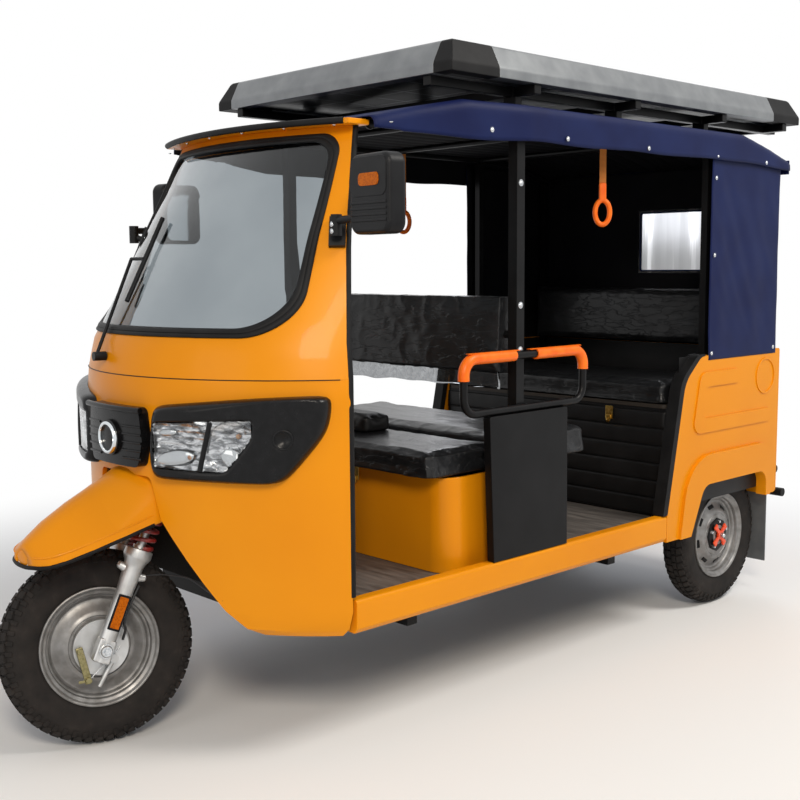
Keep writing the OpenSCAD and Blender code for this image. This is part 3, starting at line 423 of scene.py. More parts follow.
# Orange enamel on the hub star: bright, satin, worn in spots of 15 mm.
orange_metal = finish("orange_enamel", [(0.35, "#E2461B"), (0.7, "#F0562A")], ("TexNoise", 60.0, 4.0),
                      Roughness=0.34)
for side, hub in (("left", left_hub), ("right", right_hub)):
    piece(f"rear_{side}_rim_pressed", f"rear_{side}_wheel",
          placed(joined([rim_shape(0.0440), hub_barrel(-0.050, 0.035)]), hub), silver,
          [f"rear_{side}_rim"])
    slots = []
    for k in range(8):
        slot = lump((-0.004, -0.016, -0.0075), (0.0022, 0.016, 0.0075), 0.0016, 2)
        slots.append(placed(slot, turned(45 * k + 12, "X")
                            @ moved((0.0190, 0, 0.1110)) @ turned(-32, "Y")))
    piece(f"rear_{side}_rim_slots", f"rear_{side}_wheel", placed(joined(slots), hub), black_steel)
    plate = spun([(0.0, 0.0445), (0.026, 0.0445), (0.030, 0.0415), (0.060, 0.0395), (0.066, 0.0370),
                  (0.066, 0.0330), (0.0, 0.0330)], 8)
    piece(f"rear_{side}_hub_plate", f"rear_{side}_wheel", placed(ease(plate, 0.0015), hub), black_steel)
    arms = [spun([(0.0, 0.0540), (0.0150, 0.0540), (0.0170, 0.0525), (0.0170, 0.0430), (0.0, 0.0430)], 20)]
    for k in range(4):
        turn = turned(90 * k + 40, "X")
        arms.append(placed(lump((0.0450, -0.0075, 0.010), (0.0525, 0.0075, 0.040), 0.002), turn))
        arms.append(placed(lump((0.0450, -0.0115, 0.036), (0.0530, 0.0115, 0.052), 0.003), turn))
    piece(f"rear_{side}_hub_star", f"rear_{side}_wheel", placed(joined(arms), hub), orange_metal)
    nuts = [placed(spun([(0.0, 0.068), (0.007, 0.068), (0.0085, 0.066), (0.0085, 0.050), (0, 0.050)], 20),
                   Matrix())]
    nuts += [placed(spun([(0.0, 0.0105), (0.0055, 0.010), (0.006, 0.0), (0, 0)], 6), turned(72 * k, "X")
                    @ moved((0.038, 0, 0.052))) for k in range(5)]
    piece(f"rear_{side}_hub_nuts", f"rear_{side}_wheel", placed(joined(nuts), hub), zinc)

# ---- Front fork and brake
# Cast and polished aluminium legs slide on steel rods inside red coil springs. The left leg carries an amber reflector
# and the drum brake's plate, lever and cable; the axle is clamped in the forked feet and held by a plated nut.
# Cast aluminium: pale grey, soft highlights, a sandy skin of about 1 mm.
cast = finish("cast_aluminium", [(0.3, "#A9A9A8"), (0.7, "#C9CACA")], ("TexNoise", 18.0, 6.0),
              ("TexNoise", 900.0, 2.0), 0.12, dull=(0.5, 0.32), Metallic=0.85)
fork = merged("fork")
neck, lean = Vector((0, 0.030, 0)) + stem_foot, Vector((0, math.sin(RAKE), math.cos(RAKE)))
for vert in fork.verts:
    along = (vert.co - neck).dot(lean)
    spoke = vert.co - neck - lean * along
    if along > 0.45 and 0.010 < spoke.length < 0.0195:
        vert.co = neck + lean * along + spoke * 0.955
piece("fork_dressed", "steering", ease(fork, 0.003), cast, ["fork"])


def leg(x):
    return steered @ moved((x, 0, AXLE_Z)) @ Matrix.Rotation(-RAKE, 4, "X")


LEG_X = 0.092
upward = turned(-90, "Y")
legs = []
for s in SIDES:
    tube = [(0.0, 0.287), (0.030, 0.287), (0.0385, 0.284), (0.0395, 0.266), (0.036, 0.258), (0.0300, 0.247),
            (0.0270, 0.232), (0.0268, 0.205), (0.0245, 0.182), (0.0238, 0.160), (0.0238, 0.020), (0.0, 0.020)]
    legs.append(placed(spun(tube, 40), leg(s * LEG_X) @ upward))
    for front in SIDES:
        boss = spun([(0.0, 0.046), (0.006, 0.045), (0.010, 0.041), (0.0115, 0.030), (0.015, 0.018),
                     (0.0, 0.018)], 24)
        legs.append(placed(boss, leg(s * LEG_X) @ facing((0, front, 0.18), (0, 0, 0.215 - 0.008 * front))))
    legs.append(placed(lump((-0.021, -0.024, -0.036), (0.023, 0.024, 0.030), 0.006, 3), leg(s * LEG_X)))
    legs.append(placed(spun([(0.0, 0.0455), (0.014, 0.045), (0.0165, 0.041), (0.0165, 0.020), (0, 0.020)],
                            32),
                       leg(s * LEG_X) @ (Matrix() if s > 0 else flip)))
piece("fork_leg_castings", "steering", joined(legs), cast)


def coil(radius, wire, sides, foot, rise, turns, per_turn):
    shape = bmesh.new()
    bmesh.ops.create_circle(shape, segments=sides, radius=wire, cap_ends=True,
                            matrix=moved((radius, 0, foot)) @ turned(90, "X"))
    bmesh.ops.spin(shape, geom=every(shape), cent=(0, 0, 0), axis=(0, 0, 1), angle=turns * 2 * math.pi,
                   dvec=(0, 0, rise / (turns * per_turn)), steps=turns * per_turn)
    bmesh.ops.recalc_face_normals(shape, faces=shape.faces)
    return shape


coils = [placed(coil(0.031, 0.0059, 10, 0.2895, 0.123, 5, 36), leg(s * LEG_X)) for s in SIDES]
# Red powder coat: thick, glossy, duller where grit has worn it in patches of 20 mm.
red_coat = finish("red_powder_coat", [(0.3, "#571412"), (0.65, "#8C211B")], ("TexNoise", 50.0, 5.0),
                  dull=(0.55, 0.28), Coat_Weight=0.3)
piece("fork_spring_coils", "steering", joined(coils), red_coat, ["fork_springs"])

brake = steered @ moved((0, 0, AXLE_Z))
drum = spun([(0.0, 0.0560), (0.020, 0.0560), (0.022, 0.0520), (0.060, 0.0500), (0.064, 0.0520),
             (0.069, 0.0525), (0.0735, 0.0505), (0.0760, 0.0460), (0.0760, 0.0410), (0.0, 0.0410)], 64)
ribs = [placed(lump((0.0500, -0.0025, 0.024), (0.0535, 0.0025, 0.060), 0.001, 1), turned(60 * k + 15, "X"))
        for k in range(6)]
piece("front_brake_plate", "steering", placed(joined([drum] + ribs), brake), cast)
reflector = [lump((0.0215, -0.0175, 0.056), (0.0285, 0.0175, 0.156), 0.0025)]
piece("fork_reflector_frame", "steering", placed(joined(reflector), leg(LEG_X)), black_steel)
# Amber lens: clear orange plastic, bright from its silvered back, with a 5 mm pattern of prisms.
amber = finish("amber_lens", [(0.2, "#A44E02"), (0.7, "#BE6204")], ("TexVoronoi", 200.0), bump=0.02,
               Roughness=0.22, Specular_IOR_Level=0.1)
piece("fork_reflector", "steering", placed(lump((0.0250, -0.0125, 0.062), (0.0305, 0.0125, 0.150), 0.002),
                                           leg(LEG_X)), amber)

# Yellow-passivated zinc: olive gold, slightly iridescent in patches of 10 mm.
gold_zinc = finish("yellow_passivated_zinc", [(0.3, "#6E6744"), (0.55, "#948C66"), (0.75, "#827B5A")],
                   ("TexNoise", 110.0, 4.0), Metallic=0.9, Roughness=0.36)
tip, pivot = Vector((0.064, -0.044, -0.082)), Vector((0.064, -0.060, 0.0))
lever = lump((-0.003, -0.010, -0.010), (0.003, 0.010, (pivot - tip).length + 0.010), 0.003)
lean = math.atan2(tip.y - pivot.y, pivot.z - tip.z)
lever = placed(lever, moved(tip) @ Matrix.Rotation(lean, 4, "X"))
barrel = placed(spun([(0, -0.011), (0.008, -0.011), (0.009, -0.009), (0.009, 0.009), (0.008, 0.011),
                      (0, 0.011)], 24),
                moved(tip))
cam_nut = placed(spun([(0, 0.010), (0.0085, 0.010), (0.0095, 0.008), (0.0095, -0.016), (0, -0.016)], 6),
                 moved(pivot))
wing = lump((tip.x - 0.002, tip.y - 0.026, tip.z - 0.006), (tip.x + 0.002, tip.y - 0.008, tip.z + 0.002),
            0.0015)
piece("brake_lever", "steering", placed(joined([lever, barrel, cam_nut, wing]), brake), gold_zinc)
nut = [placed(spun([(0, 0.054), (0.008, 0.054), (0.009, 0.050), (0.009, 0.046), (0.0135, 0.046),
                    (0.0145, 0.044), (0.0145, 0.036), (0, 0.036)], 6), leg(LEG_X)),
       placed(spun([(0, 0.0365), (0.019, 0.0365), (0.019, 0.033), (0, 0.033)], 32), leg(LEG_X))]
piece("front_axle_nut", "steering", joined(nut), zinc)


# ---- Brake cable
# A steel inner cable in a black sleeve leaves the brake plate, is clipped up the back of the left leg and swings over
# in a stiff arc to the cowl. The sleeve is moulded vinyl; the bare inner cable runs on to the lever through a spring.
def swept(points, radius, closed=False, corners=4, even=True):
    line = bpy.data.curves.new("route", "CURVE")
    line.dimensions = "3D"
    run = line.splines.new("BEZIER" if even else "POLY")
    knots = run.bezier_points if even else run.points
    knots.add(len(points) - 1)
    for knot, point in zip(knots, points):
        knot.co = Vector(point) if even else (*point, 1)
        if even:
            knot.handle_left_type = knot.handle_right_type = "AUTO"
    line.resolution_u = 6
    run.use_cyclic_u = closed
    line.use_fill_caps = not closed
    line.bevel_depth = radius
    line.bevel_resolution = corners
    holder = shown("route", line)
    bpy.context.view_layer.update()
    mesh = bpy.data.meshes.new_from_object(holder.evaluated_get(bpy.context.evaluated_depsgraph_get()))
    shape = bmesh.new()
    shape.from_mesh(mesh)
    bmesh.ops.remove_doubles(shape, verts=shape.verts, dist=1e-6)
    bmesh.ops.recalc_face_normals(shape, faces=shape.faces)
    bpy.data.meshes.remove(mesh)
    bpy.data.curves.remove(line)
    return shape


# Black vinyl: satin, slightly grey, with faint ripples of 3 mm along its length.
vinyl_sleeve = finish("black_vinyl_sleeve", [(0.3, "#101012"), (0.7, "#1C1C1E")], ("TexNoise", 330.0, 2.0),
                      bump=0.1, Roughness=0.42)
sleeve = [brake @ Vector((0.068, 0.058, 0.014)), brake @ Vector((0.078, 0.066, 0.045)),
          leg(LEG_X) @ Vector((-0.004, 0.030, 0.080)), leg(LEG_X) @ Vector((-0.004, 0.029, 0.140)),
          leg(LEG_X) @ Vector((-0.004, 0.034, 0.190))]
piece("brake_hose", "steering", swept(sleeve, 0.0038), vinyl_sleeve)
inner = [brake @ Vector((0.066, 0.050, -0.004)), brake @ Vector((0.066, 0.012, -0.038)),
         brake @ Vector((0.065, -0.040, -0.081))]
spring = coil(0.0058, 0.0011, 6, 0, 0.030, 10, 14)
run = inner[2] - inner[1]
spring = placed(spring, moved(inner[1] - run.normalized() * 0.012)
                @ run.to_track_quat("Z", "X").to_matrix().to_4x4())
piece("brake_inner_cable", "steering", joined([swept(inner, 0.0012, even=False), spring]), zinc)

free_run = [leg(LEG_X) @ Vector((0, 0.042, 0.222)), Vector((0.128, 0.157, 0.4705)),
            Vector((0.1678, 0.1723, 0.4725)), Vector((0.2259, 0.1896, 0.4705)),
            Vector((0.2875, 0.1995, 0.4502)), Vector((0.3450, 0.2150, 0.4290))]
fine = []
for k in range(len(free_run) - 1):
    a, b, c, d = (free_run[min(max(k + j, 0), len(free_run) - 1)] for j in (-1, 0, 1, 2))
    for u in [j / 10 for j in range(10)]:
        bend, twist = 2 * a - 5 * b + 4 * c - d, 3 * b - a - 3 * c + d
        fine.append(0.5 * (2 * b + (c - a) * u + bend * u ** 2 + twist * u ** 3))
fine.append(free_run[-1])
cable = piece("brake_cable", None, swept(fine, 0.0026, even=False), vinyl_sleeve)
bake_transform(cable)

# ---- Yellow body panels
# Pressed steel and moulded fibreglass, sprayed in one warm yellow enamel with a clear gloss and bolted to the frame.
# The spray leaves an orange-peel ripple of 7 mm; black rubber channel is pushed over the raw door and fender edges.
yellow = finish("yellow_enamel", [(0.3, "#E08A09"), (0.7, "#E8930D")], ("TexNoise", 2.2, 3.0),
                ("TexNoise", 150.0, 1.0), 0.025, Roughness=0.34, Specular_IOR_Level=0.14, Coat_Weight=0.06,
                Coat_Roughness=0.06)
for name in ("sills", "cowl", "screen_frame", "visor", "tail_panel", "front_seat_box"):
    dressed(name, yellow, 0.003)
grid_cuts = [((0, y, 0), (0, 1, 0)) for y in (2.066, 2.15, 2.25, 2.374, 2.5, 2.592)]
grid_cuts += [((0, 0, z), (0, 0, 1)) for z in (0.512, 0.624, 0.704, 0.757, 0.82, 0.872, 0.926)]
dressed("quarter_panels", yellow, 0.0035, segments=3, cuts=grid_cuts + [((0, 2.582, 0), (0, 1, 0))])

CAB = [(0.330, 0.566, 0.446, 0.176), (0.352, 0.588, 0.450, 0.140), (0.400, 0.598, 0.455, 0.122),
       (0.960, 0.598, 0.455, 0.122), (1.030, 0.590, 0.462, 0.126), (1.110, 0.572, 0.472, 0.145),
       (1.390, 0.505, 0.532, 0.318), (1.700, 0.428, 0.628, 0.535)]


def between(table, value):
    for low, high in zip(table, table[1:]):
        if value <= high[0]:
            break
    t = (value - low[0]) / (high[0] - low[0])
    return [a + (b - a) * t for a, b in zip(low[1:], high[1:])]


def cab_point(z, angle=None, out=0.0):
    half, edge, nose = between(CAB, z)
    sag = edge - nose
    radius = (half * half + sag * sag) / (2 * sag)
    angle = math.asin(half / radius) if angle is None else angle
    return Vector(((radius + out) * math.sin(angle), nose + radius - (radius + out) * math.cos(angle), z))


def net(across, along):
    shape = bmesh.new()
    bmesh.ops.create_grid(shape, x_segments=across, y_segments=along, size=1)
    return shape


def face_out(shape, axis, sign):
    bmesh.ops.recalc_face_normals(shape, faces=shape.faces)
    if sum(face.normal[axis] for face in shape.faces) * sign < 0:
        bmesh.ops.reverse_faces(shape, faces=shape.faces)
    return shape


def ball(steps, rings, matrix, radius=1):
    shape = bmesh.new()
    bmesh.ops.create_uvsphere(shape, u_segments=steps, v_segments=rings, radius=radius, matrix=matrix)
    return shape


def both_sides(*shapes):
    return joined([half for shape in shapes for half in (shape.copy(), placed(shape, flip))])


# Moulded rubber: deep matt black, fine pores of under 1 mm, greyed by dust.
moulded = finish("moulded_rubber", [(0.35, "#0F0F10"), (0.75, "#1C1C1D")], ("TexNoise", 14.0, 5.0),
                 ("TexNoise", 800.0, 1.0), 0.12, Roughness=0.55, Specular_IOR_Level=0.15)
heights = [0.440 + 0.042 * k for k in range(31)]
door = [cab_point(z, None, -0.007) + Vector((0, 0.001, 0)) for z in heights]
edging = [both_sides(swept(door, 0.0090, even=False))]
FENDER = [(-0.178, 0.052, 0.590, 0.564), (-0.170, 0.072, 0.600, 0.565), (-0.152, 0.094, 0.614, 0.568),
          (-0.112, 0.114, 0.645, 0.578), (-0.040, 0.130, 0.687, 0.598), (0.050, 0.142, 0.731, 0.623),
          (0.130, 0.149, 0.767, 0.645), (0.205, 0.153, 0.800, 0.664)]
BROW = 0.875
hood = net(64, 80)
for vert in hood.verts:
    across, y = vert.co.x, -0.1825 + (vert.co.y + 1) / 2 * 0.3875
    half, crown, crease = between([(-0.1825, 0.030, 0.578, 0.562)] + FENDER, y)
    reach = abs(across)
    if reach > BROW:
        drop = (reach - BROW) / (1 - BROW)
        x, z = half + 0.003 * drop, crease - 0.027 * drop
    else:
        climb = 1 - reach / BROW
        rise = climb - max(0.0, climb - 0.62) ** 2 / 0.76
        full = min(1.0, max(0.0, (y - 0.02) / 0.14))
        rise = rise / 0.81 * (1 - full) + math.sqrt(1 - (1 - climb) ** 2.2) * full
        x, z = half * (1 - climb), crease + (crown - crease) * rise
    vert.co = Vector((math.copysign(x, across), y, z))
fender = piece("front_fender_pressed", "body", face_out(hood, 2, 1), yellow, ["front_fender"],
               smooth=24)
thicken(fender, "gauge", 0.005)
beads = [swept([(s * (half - 0.0004), y, crease) for y, half, crown, crease in FENDER[:-1]], 0.0022,
               corners=2) for s in SIDES]
nose_cap = ball(32, 16, moved((0, -0.1790, 0.557)) @ Matrix.Diagonal((0.034, 0.0045, 0.0210, 1)))
piece("front_fender_beads", "body", joined(beads + [nose_cap]), yellow)
skirt = [(half, y, crease - 0.026) for y, half, crown, crease in FENDER[-2::-1]]
beak = [(0.026, -0.1825, 0.5355), (0, -0.1838, 0.535), (-0.026, -0.1825, 0.5355)]
skirt += beak + [(-x, y, z) for x, y, z in skirt[::-1]]
edging.append(swept(skirt, 0.0055))
crown = [cab_point(1.7000, math.radians(a), 0.0480) + Vector((0, 0, 0.0090)) for a in range(-60, 61, 3)]
edging.append(swept([p for p in crown if abs(p.x) < 0.456], 0.0092))
seam = [cab_point(1.0220, math.radians(a), 0.0004) for a in range(-72, 73, 3)]
edging.append(swept([p for p in seam if abs(p.x) < 0.588], 0.0013, corners=2))
piece("door_and_fender_edging", "body", joined(edging), moulded)
screws = [screw(cab_point(z, None, 0.0005) - Vector((0.030, 0.0120, 0)), (0.6, -0.8, 0), 0.004)
          for z in (1.070, 1.015)]
screws += [screw(cab_point(1.7000, math.radians(a), 0.0300) - Vector((0, 0, 0.0002)), (0, 0, -1), 0.004)
           for a in range(-32, 40, 9)]
piece("panel_screws", "body", joined(screws), zinc)
dressed("quarter_trims", moulded, 0.006, segments=3)

# Painted shade: the wheel's bulkhead is coloured near-black to stand for the shade behind the wheel, dull and stippled
# in lumps of 4 mm.
well_painted_shade = finish("wheel_well_painted_shade", [(0.3, "#0E0D0C"), (0.7, "#1C1916")], ("TexNoise", 240.0, 3.0),
                   bump=0.3, Roughness=0.8, Specular_IOR_Level=0.15)
dressed("wheel_well", well_painted_shade, 0.003)

# ---- Windscreen
# One curved sheet of grey-tinted laminated glass held in a fat rubber gasket, with a parallel-arm wiper
# on its outside.
# Tinted glass: it darkens and cools what lies behind it, unevenly over 300 mm, and mirrors the sky.
glass = finish("tinted_laminated_glass", [(0.3, "#868E93"), (0.7, "#959DA1")], ("TexNoise", 3.0, 4.0),
               Roughness=0.015, IOR=1.45, Transmission_Weight=1.0)
dressed("screen_glass", glass, 0.001)


def screen_loop(margin):
    low, high = 1.130 + margin, 1.682 - margin
    sides = [(low + 0.120 * (1 - math.cos(t)), 0.120 * (1 - math.sin(t)))
             for t in [math.pi / 40 * k for k in range(21)]]
    sides += [(low + 0.120 + (high - low - 0.180) * k / 10, 0) for k in range(1, 10)]
    sides += [(high - 0.060 * (1 - math.cos(t)), 0.060 * (1 - math.sin(t)))
              for t in [math.pi / 24 * k for k in range(12, -1, -1)]]
    half = [(z, 0.486 - 0.081 * (z - 1.130) / 0.552 - margin - cut) for z, cut in sides]
    run = [(low, half[0][1] * (k / 10 - 1)) for k in range(1, 20)] + half
    return run + [(high, half[-1][1] * (1 - k / 8)) for k in range(1, 16)] + [(z, -x) for z, x in half[::-1]]


SECTION = [(0, -0.004), (0, 0.003), (0.002, 0.0065), (0.006, 0.0088), (0.010, 0.0080), (0.0115, 0.0062),
           (0.013, 0.0080), (0.018, 0.0086), (0.022, 0.0060), (0.024, 0.0010), (0.024, -0.009)]
count = len(screen_loop(0))
gasket = net(count, len(SECTION) - 1)
for vert in gasket.verts:
    margin, out = SECTION[round((vert.co.y + 1) / 2 * (len(SECTION) - 1))]
    z, x = screen_loop(margin)[round((vert.co.x + 1) / 2 * count) % count]
    half, edge, nose = between(CAB, z)
    radius = (half * half + (edge - nose) ** 2) / (2 * (edge - nose))
    vert.co = cab_point(z, math.asin(x / radius), out)
bmesh.ops.remove_doubles(gasket, verts=gasket.verts, dist=1e-5)
piece("screen_gasket", "body", face_out(gasket, 1, -1), moulded, ["screen_rubber"], smooth=50)

# Moulded plastic: dark grey-black, satin, with a spark-eroded grain of about 1 mm.
plastic = finish("black_moulded_plastic", [(0.35, "#111113"), (0.75, "#1B1C1E")], ("TexNoise", 12.0, 5.0),
                 ("TexVoronoi", 900.0), 0.10, Roughness=0.42, Specular_IOR_Level=0.16)
for name in ("instrument_shelf", "wiper", "battery_pack"):
    dressed(name, plastic, 0.003)

# ---- Mirrors
# Door mirrors of moulded plastic on folding steel arms: a rounded housing with an amber repeater above four
# shallow ribs in front, and flat silvered glass behind. The right one is folded back along the cab.
knuckle = moved((0.512, 0.488, 1.396))
arms = [knuckle @ turned(-7, "Z"), flip @ knuckle @ turned(80, "Z")]
stems = merged("mirrors")
heads = [v for v in stems.verts if any((arm.inverted() @ v.co).x > 0.018 for arm in arms)]
bmesh.ops.delete(stems, geom=heads, context="VERTS")
piece("mirror_brackets", "body", ease(stems, 0.002), plastic, ["mirrors"])


def pill(low, high, bend):
    shape = lump(low, high, 0)
    ends = [e for e in shape.edges if abs(e.verts[0].co.y - e.verts[1].co.y) > 1e-6]
    return rounded(shape, ends, bend, 8)


ribs, pills, panes, bolts = [], [], [], []
for arm in arms:
    ribs.append(placed(swept([(0, 0, 0.040), (0.070, 0, 0.042), (0.135, 0, 0.046)], 0.0105, corners=6), arm))
    ribs.append(placed(ease(pill((0.104, -0.0290, -0.001), (0.274, 0.0290, 0.199), 0.030), 0.013, segments=5),
                       arm))
    for k in range(4):
        rib = lump((0.112, -0.0318, 0.030 + 0.0145 * k), (0.266, -0.0280, 0.0370 + 0.0145 * k), 0.0018)
        ribs.append(placed(rib, arm))
    ribs.append(placed(ease(pill((0.112, -0.0310, 0.092), (0.266, -0.0270, 0.190), 0.022), 0.002), arm))
    pills.append(placed(ease(pill((0.150, -0.0335, 0.1180), (0.236, -0.0290, 0.1500), 0.012), 0.0015), arm))
    panes.append(placed(ease(pill((0.116, 0.0270, 0.010), (0.262, 0.0302, 0.188), 0.022), 0.0008), arm))
    bolts += [placed(screw((0, -0.0155, z), (0, -1, 0), 0.005), arm) for z in (0.012, 0.030)]
piece("mirror_housings", "body", joined(ribs), plastic)
piece("mirror_repeaters", "body", joined(pills), amber)
# Silvered glass: a clean cold mirror, faintly tinted in clouds of 170 mm.
mirror = finish("silvered_glass", [(0.3, "#D5DADD"), (0.7, "#DEE2E4")], ("TexNoise", 6.0), Metallic=1.0,
                Roughness=0.03)
piece("mirror_panes", "body", joined(panes), mirror)
piece("mirror_bolts", "body", joined(bolts), zinc)

# ---- Headlamps and grille
# Wrap-round lamp units: a gloss black surround, a two-bowl metallised reflector behind a clear polycarbonate cover.
# Between them a black grille with slats carries a plain chromed ring.
# Gloss black plastic: a deep black mirror skin with fine dust in patches of 25 mm.
gloss = finish("gloss_black_plastic", [(0.35, "#0C0C0D"), (0.8, "#151517")], ("TexNoise", 40.0, 6.0),
               dull=(0.16, 0.34), Specular_IOR_Level=0.2)
dressed("nose_grille", gloss, 0.004, segments=3)

CHEEK_RADIUS, CHEEK_MID_Y, CHEEK_TURN = 0.70344, 0.82544, math.radians(33)
LAMP_MID, SIDE_LAMP = (-0.090, 0.850), (0.142, 0.872)


def cheek(u, z, out):
    radius = CHEEK_RADIUS + out
    angle = CHEEK_TURN + math.asin(u / radius)
    return Vector((radius * math.sin(angle), CHEEK_MID_Y - radius * math.cos(angle), z))


def depth_in(outline, u, z, sharp):
    gaps = []
    for a, b in zip(outline, outline[1:] + outline[:1]):
        du, dz = b[0] - a[0], b[1] - a[1]
        gaps.append(((z - a[1]) * du - (u - a[0]) * dz) / math.hypot(du, dz))
    return -math.log(sum(math.exp(-sharp * gap) for gap in gaps)) / sharp


def rim_of(outline, angle, sharp):
    near, far = 0.0, 0.5
    ray = Vector((math.cos(angle), math.sin(angle)))
    for step in range(24):
        reach = (near + far) / 2
        if depth_in(outline, *(Vector(LAMP_MID) + ray * reach), sharp) > 0:
            near = reach
        else:
            far = reach
    return Vector(LAMP_MID) + ray * near


BEZEL = [(-0.264, 0.800), (-0.248, 0.750), (0.134, 0.751), (0.250, 0.890), (0.258, 0.986), (0.120, 0.988),
         (-0.243, 0.948)]
LENS = [(-0.238, 0.782), (-0.014, 0.782), (0.062, 0.875), (0.062, 0.924), (-0.238, 0.906)]


def bezel():
    shape = net(220, 40)
    rims = {k: (rim_of(LENS, k * math.pi / 110, 160), rim_of(BEZEL, k * math.pi / 110, 85))
            for k in range(220)}
    for vert in shape.verts:
        inner, outer = rims[round((vert.co.x + 1) * 110) % 220]
        share = 0.5 - 0.5 * math.cos((vert.co.y + 1) / 2 * math.pi)
        u, z = inner + (outer - inner) * share
        width = (outer - inner).length
        edge, lens = min(1, (1 - share) * width / 0.022), min(1, share * width / 0.012)
        out = 0.034 * math.sqrt(1 - (1 - edge) ** 2) - 0.006 * (1 - math.sqrt(1 - (1 - lens) ** 2))
        out -= 0.013 * max(0.0, 1 - (math.dist((u, z), SIDE_LAMP) / 0.026) ** 2)
        vert.co = cheek(u, z, out + 0.0005)
    bmesh.ops.remove_doubles(shape, verts=shape.verts, dist=1e-5)
    return face_out(shape, 1, -1)


piece("headlamp_surrounds", "body", both_sides(bezel()), gloss, ["headlamp_bezels"], smooth=50)


def bowl(u, z, centre, wide, high):
    reach = math.hypot((u - centre[0]) / wide, (z - centre[1]) / high)
    return max(0.0, 1 - reach * reach)


def reflector_depth(u, z):
    divider = -0.072 + (z - 0.845) * 0.22
    across = u - divider
    if across < -0.006:
        depth = 0.0255 - 0.0155 * math.sqrt(bowl(u, z, (-0.158, 0.845), 0.095, 0.078))
        depth += 0.0009 * math.sin(z / 0.0085 * math.pi) * (z > 0.826)
        depth -= 0.0060 * math.sqrt(bowl(u, z, (-0.165, 0.811), 0.052, 0.018))
    elif across > 0.008:
        depth = 0.0255 - 0.0160 * math.sqrt(bowl(u, z, (0.002, 0.848), 0.072, 0.070))
        depth += 0.0008 * math.sin(math.atan2(z - 0.80, u - 0.06) * 26)
    else:
        depth = 0.0268
    return depth


def lens_sheet(count, depth):
    shape = net(count * 2, count)
    bmesh.ops.transform(shape, verts=shape.verts,
                        matrix=moved((-0.088, 0.853, 0)) @ Matrix.Diagonal((0.152, 0.073, 1, 1)))
    for a, b in zip(LENS, LENS[1:] + LENS[:1]):
        bmesh.ops.bisect_plane(shape, geom=every(shape), clear_outer=True,
                               plane_co=(a[0], a[1], 0), plane_no=(b[1] - a[1], a[0] - b[0], 0))
    for vert in shape.verts:
        vert.co = cheek(vert.co.x, vert.co.y, depth(vert.co.x, vert.co.y))
    return face_out(shape, 1, -1)


# Metallised reflector: vacuum-coated aluminium; on each flute, 9 mm high, a bright and a dark streak are painted into
# the colour as reflections.
painted_glint_reflector = finish("metallised_reflector_painted_glints", [(0.34, "#55575A"), (0.46, "#9A9DA0"), (0.62, "#F0F2F4")],
                ("TexNoise", 1.0, 4.0, 0.8), stretch=(30.0, 30.0, 90.0), Metallic=1.0, Roughness=0.12)
lamps = piece("headlamp_reflectors", "body", both_sides(lens_sheet(72, reflector_depth)), painted_glint_reflector,
              smooth=50)
thicken(lamps, "shell", 0.0006)
# Clear polycarbonate: water-white, glossy, almost invisible except for the sky in it and a haze of 40 mm.
clear, tree, shader = substance("clear_polycarbonate", IOR=1.35, Transmission_Weight=1.0)
haze = node(tree, "TexNoise", {"Vector": node(tree, "TexCoord").outputs["Object"], "Scale": 25.0,
                               "Detail": 4.0})
tree.links.new(node(tree, "MapRange", {"Value": haze.outputs[0], "To Min": 0.0, "To Max": 0.04}).outputs[0],
               shader.inputs["Roughness"])
cover = piece("headlamp_covers", "body", both_sides(lens_sheet(12, lambda u, z: 0.0284)), clear,
              ["headlamp_lenses"])
thicken(cover, "shell", 0.0016)
bar = swept([cheek(-0.089, 0.784, 0.0262), cheek(-0.072, 0.850, 0.0262), cheek(-0.056, 0.914, 0.0240)],
            0.0078)
bulbs = [ball(20, 12, moved(cheek(u, z, 0.018)), size)
         for u, z, size in ((-0.120, 0.818, 0.0085), (0.020, 0.878, 0.0070))]
dishes = []
for u, z, wide, high, lean in ((-0.168, 0.812, 0.062, 0.020, 0.16), (0.004, 0.818, 0.034, 0.024, -0.5),
                               (-0.190, 0.880, 0.030, 0.010, 0.1)):
    along = (cheek(u + 0.01, z, 0.02) - cheek(u - 0.01, z, 0.02)).normalized()
    axes = Matrix((along, Vector((0, 0, 1)), along.cross(Vector((0, 0, 1))))).transposed().to_4x4()
    dishes.append(ball(32, 16, moved(cheek(u, z, 0.0190)) @ axes @ Matrix.Rotation(lean, 4, "Z")
                       @ Matrix.Diagonal((wide, high, 0.006, 1))))
knob = placed(spun([(0, 0.007), (0.008, 0.007), (0.010, 0.004), (0.016, 0.003), (0.018, 0), (0, 0)], 24),
              facing(cheek(*SIDE_LAMP, 0.03) - cheek(*SIDE_LAMP, 0.0), cheek(*SIDE_LAMP, 0.0142)))
around = [k * math.pi / 18 for k in range(37)]
rim = swept([cheek(SIDE_LAMP[0] + 0.0245 * math.cos(t), SIDE_LAMP[1] + 0.0245 * math.sin(t), 0.0325)
             for t in around],
            0.0034)
piece("headlamp_dishes", "body", both_sides(*dishes), mirror, smooth=60)
piece("headlamp_dividers", "body", both_sides(bar, knob, rim), plastic)
# Bulb envelope: brownish glass, warm from its coating in spots of 8 mm.
bulb_glass = finish("coated_bulb_glass", [(0.3, "#A8643A"), (0.7, "#D9B48C")], ("TexNoise", 120.0),
                    Roughness=0.08, Coat_Weight=1.0)
piece("headlamp_bulbs", "body", both_sides(*bulbs), bulb_glass)

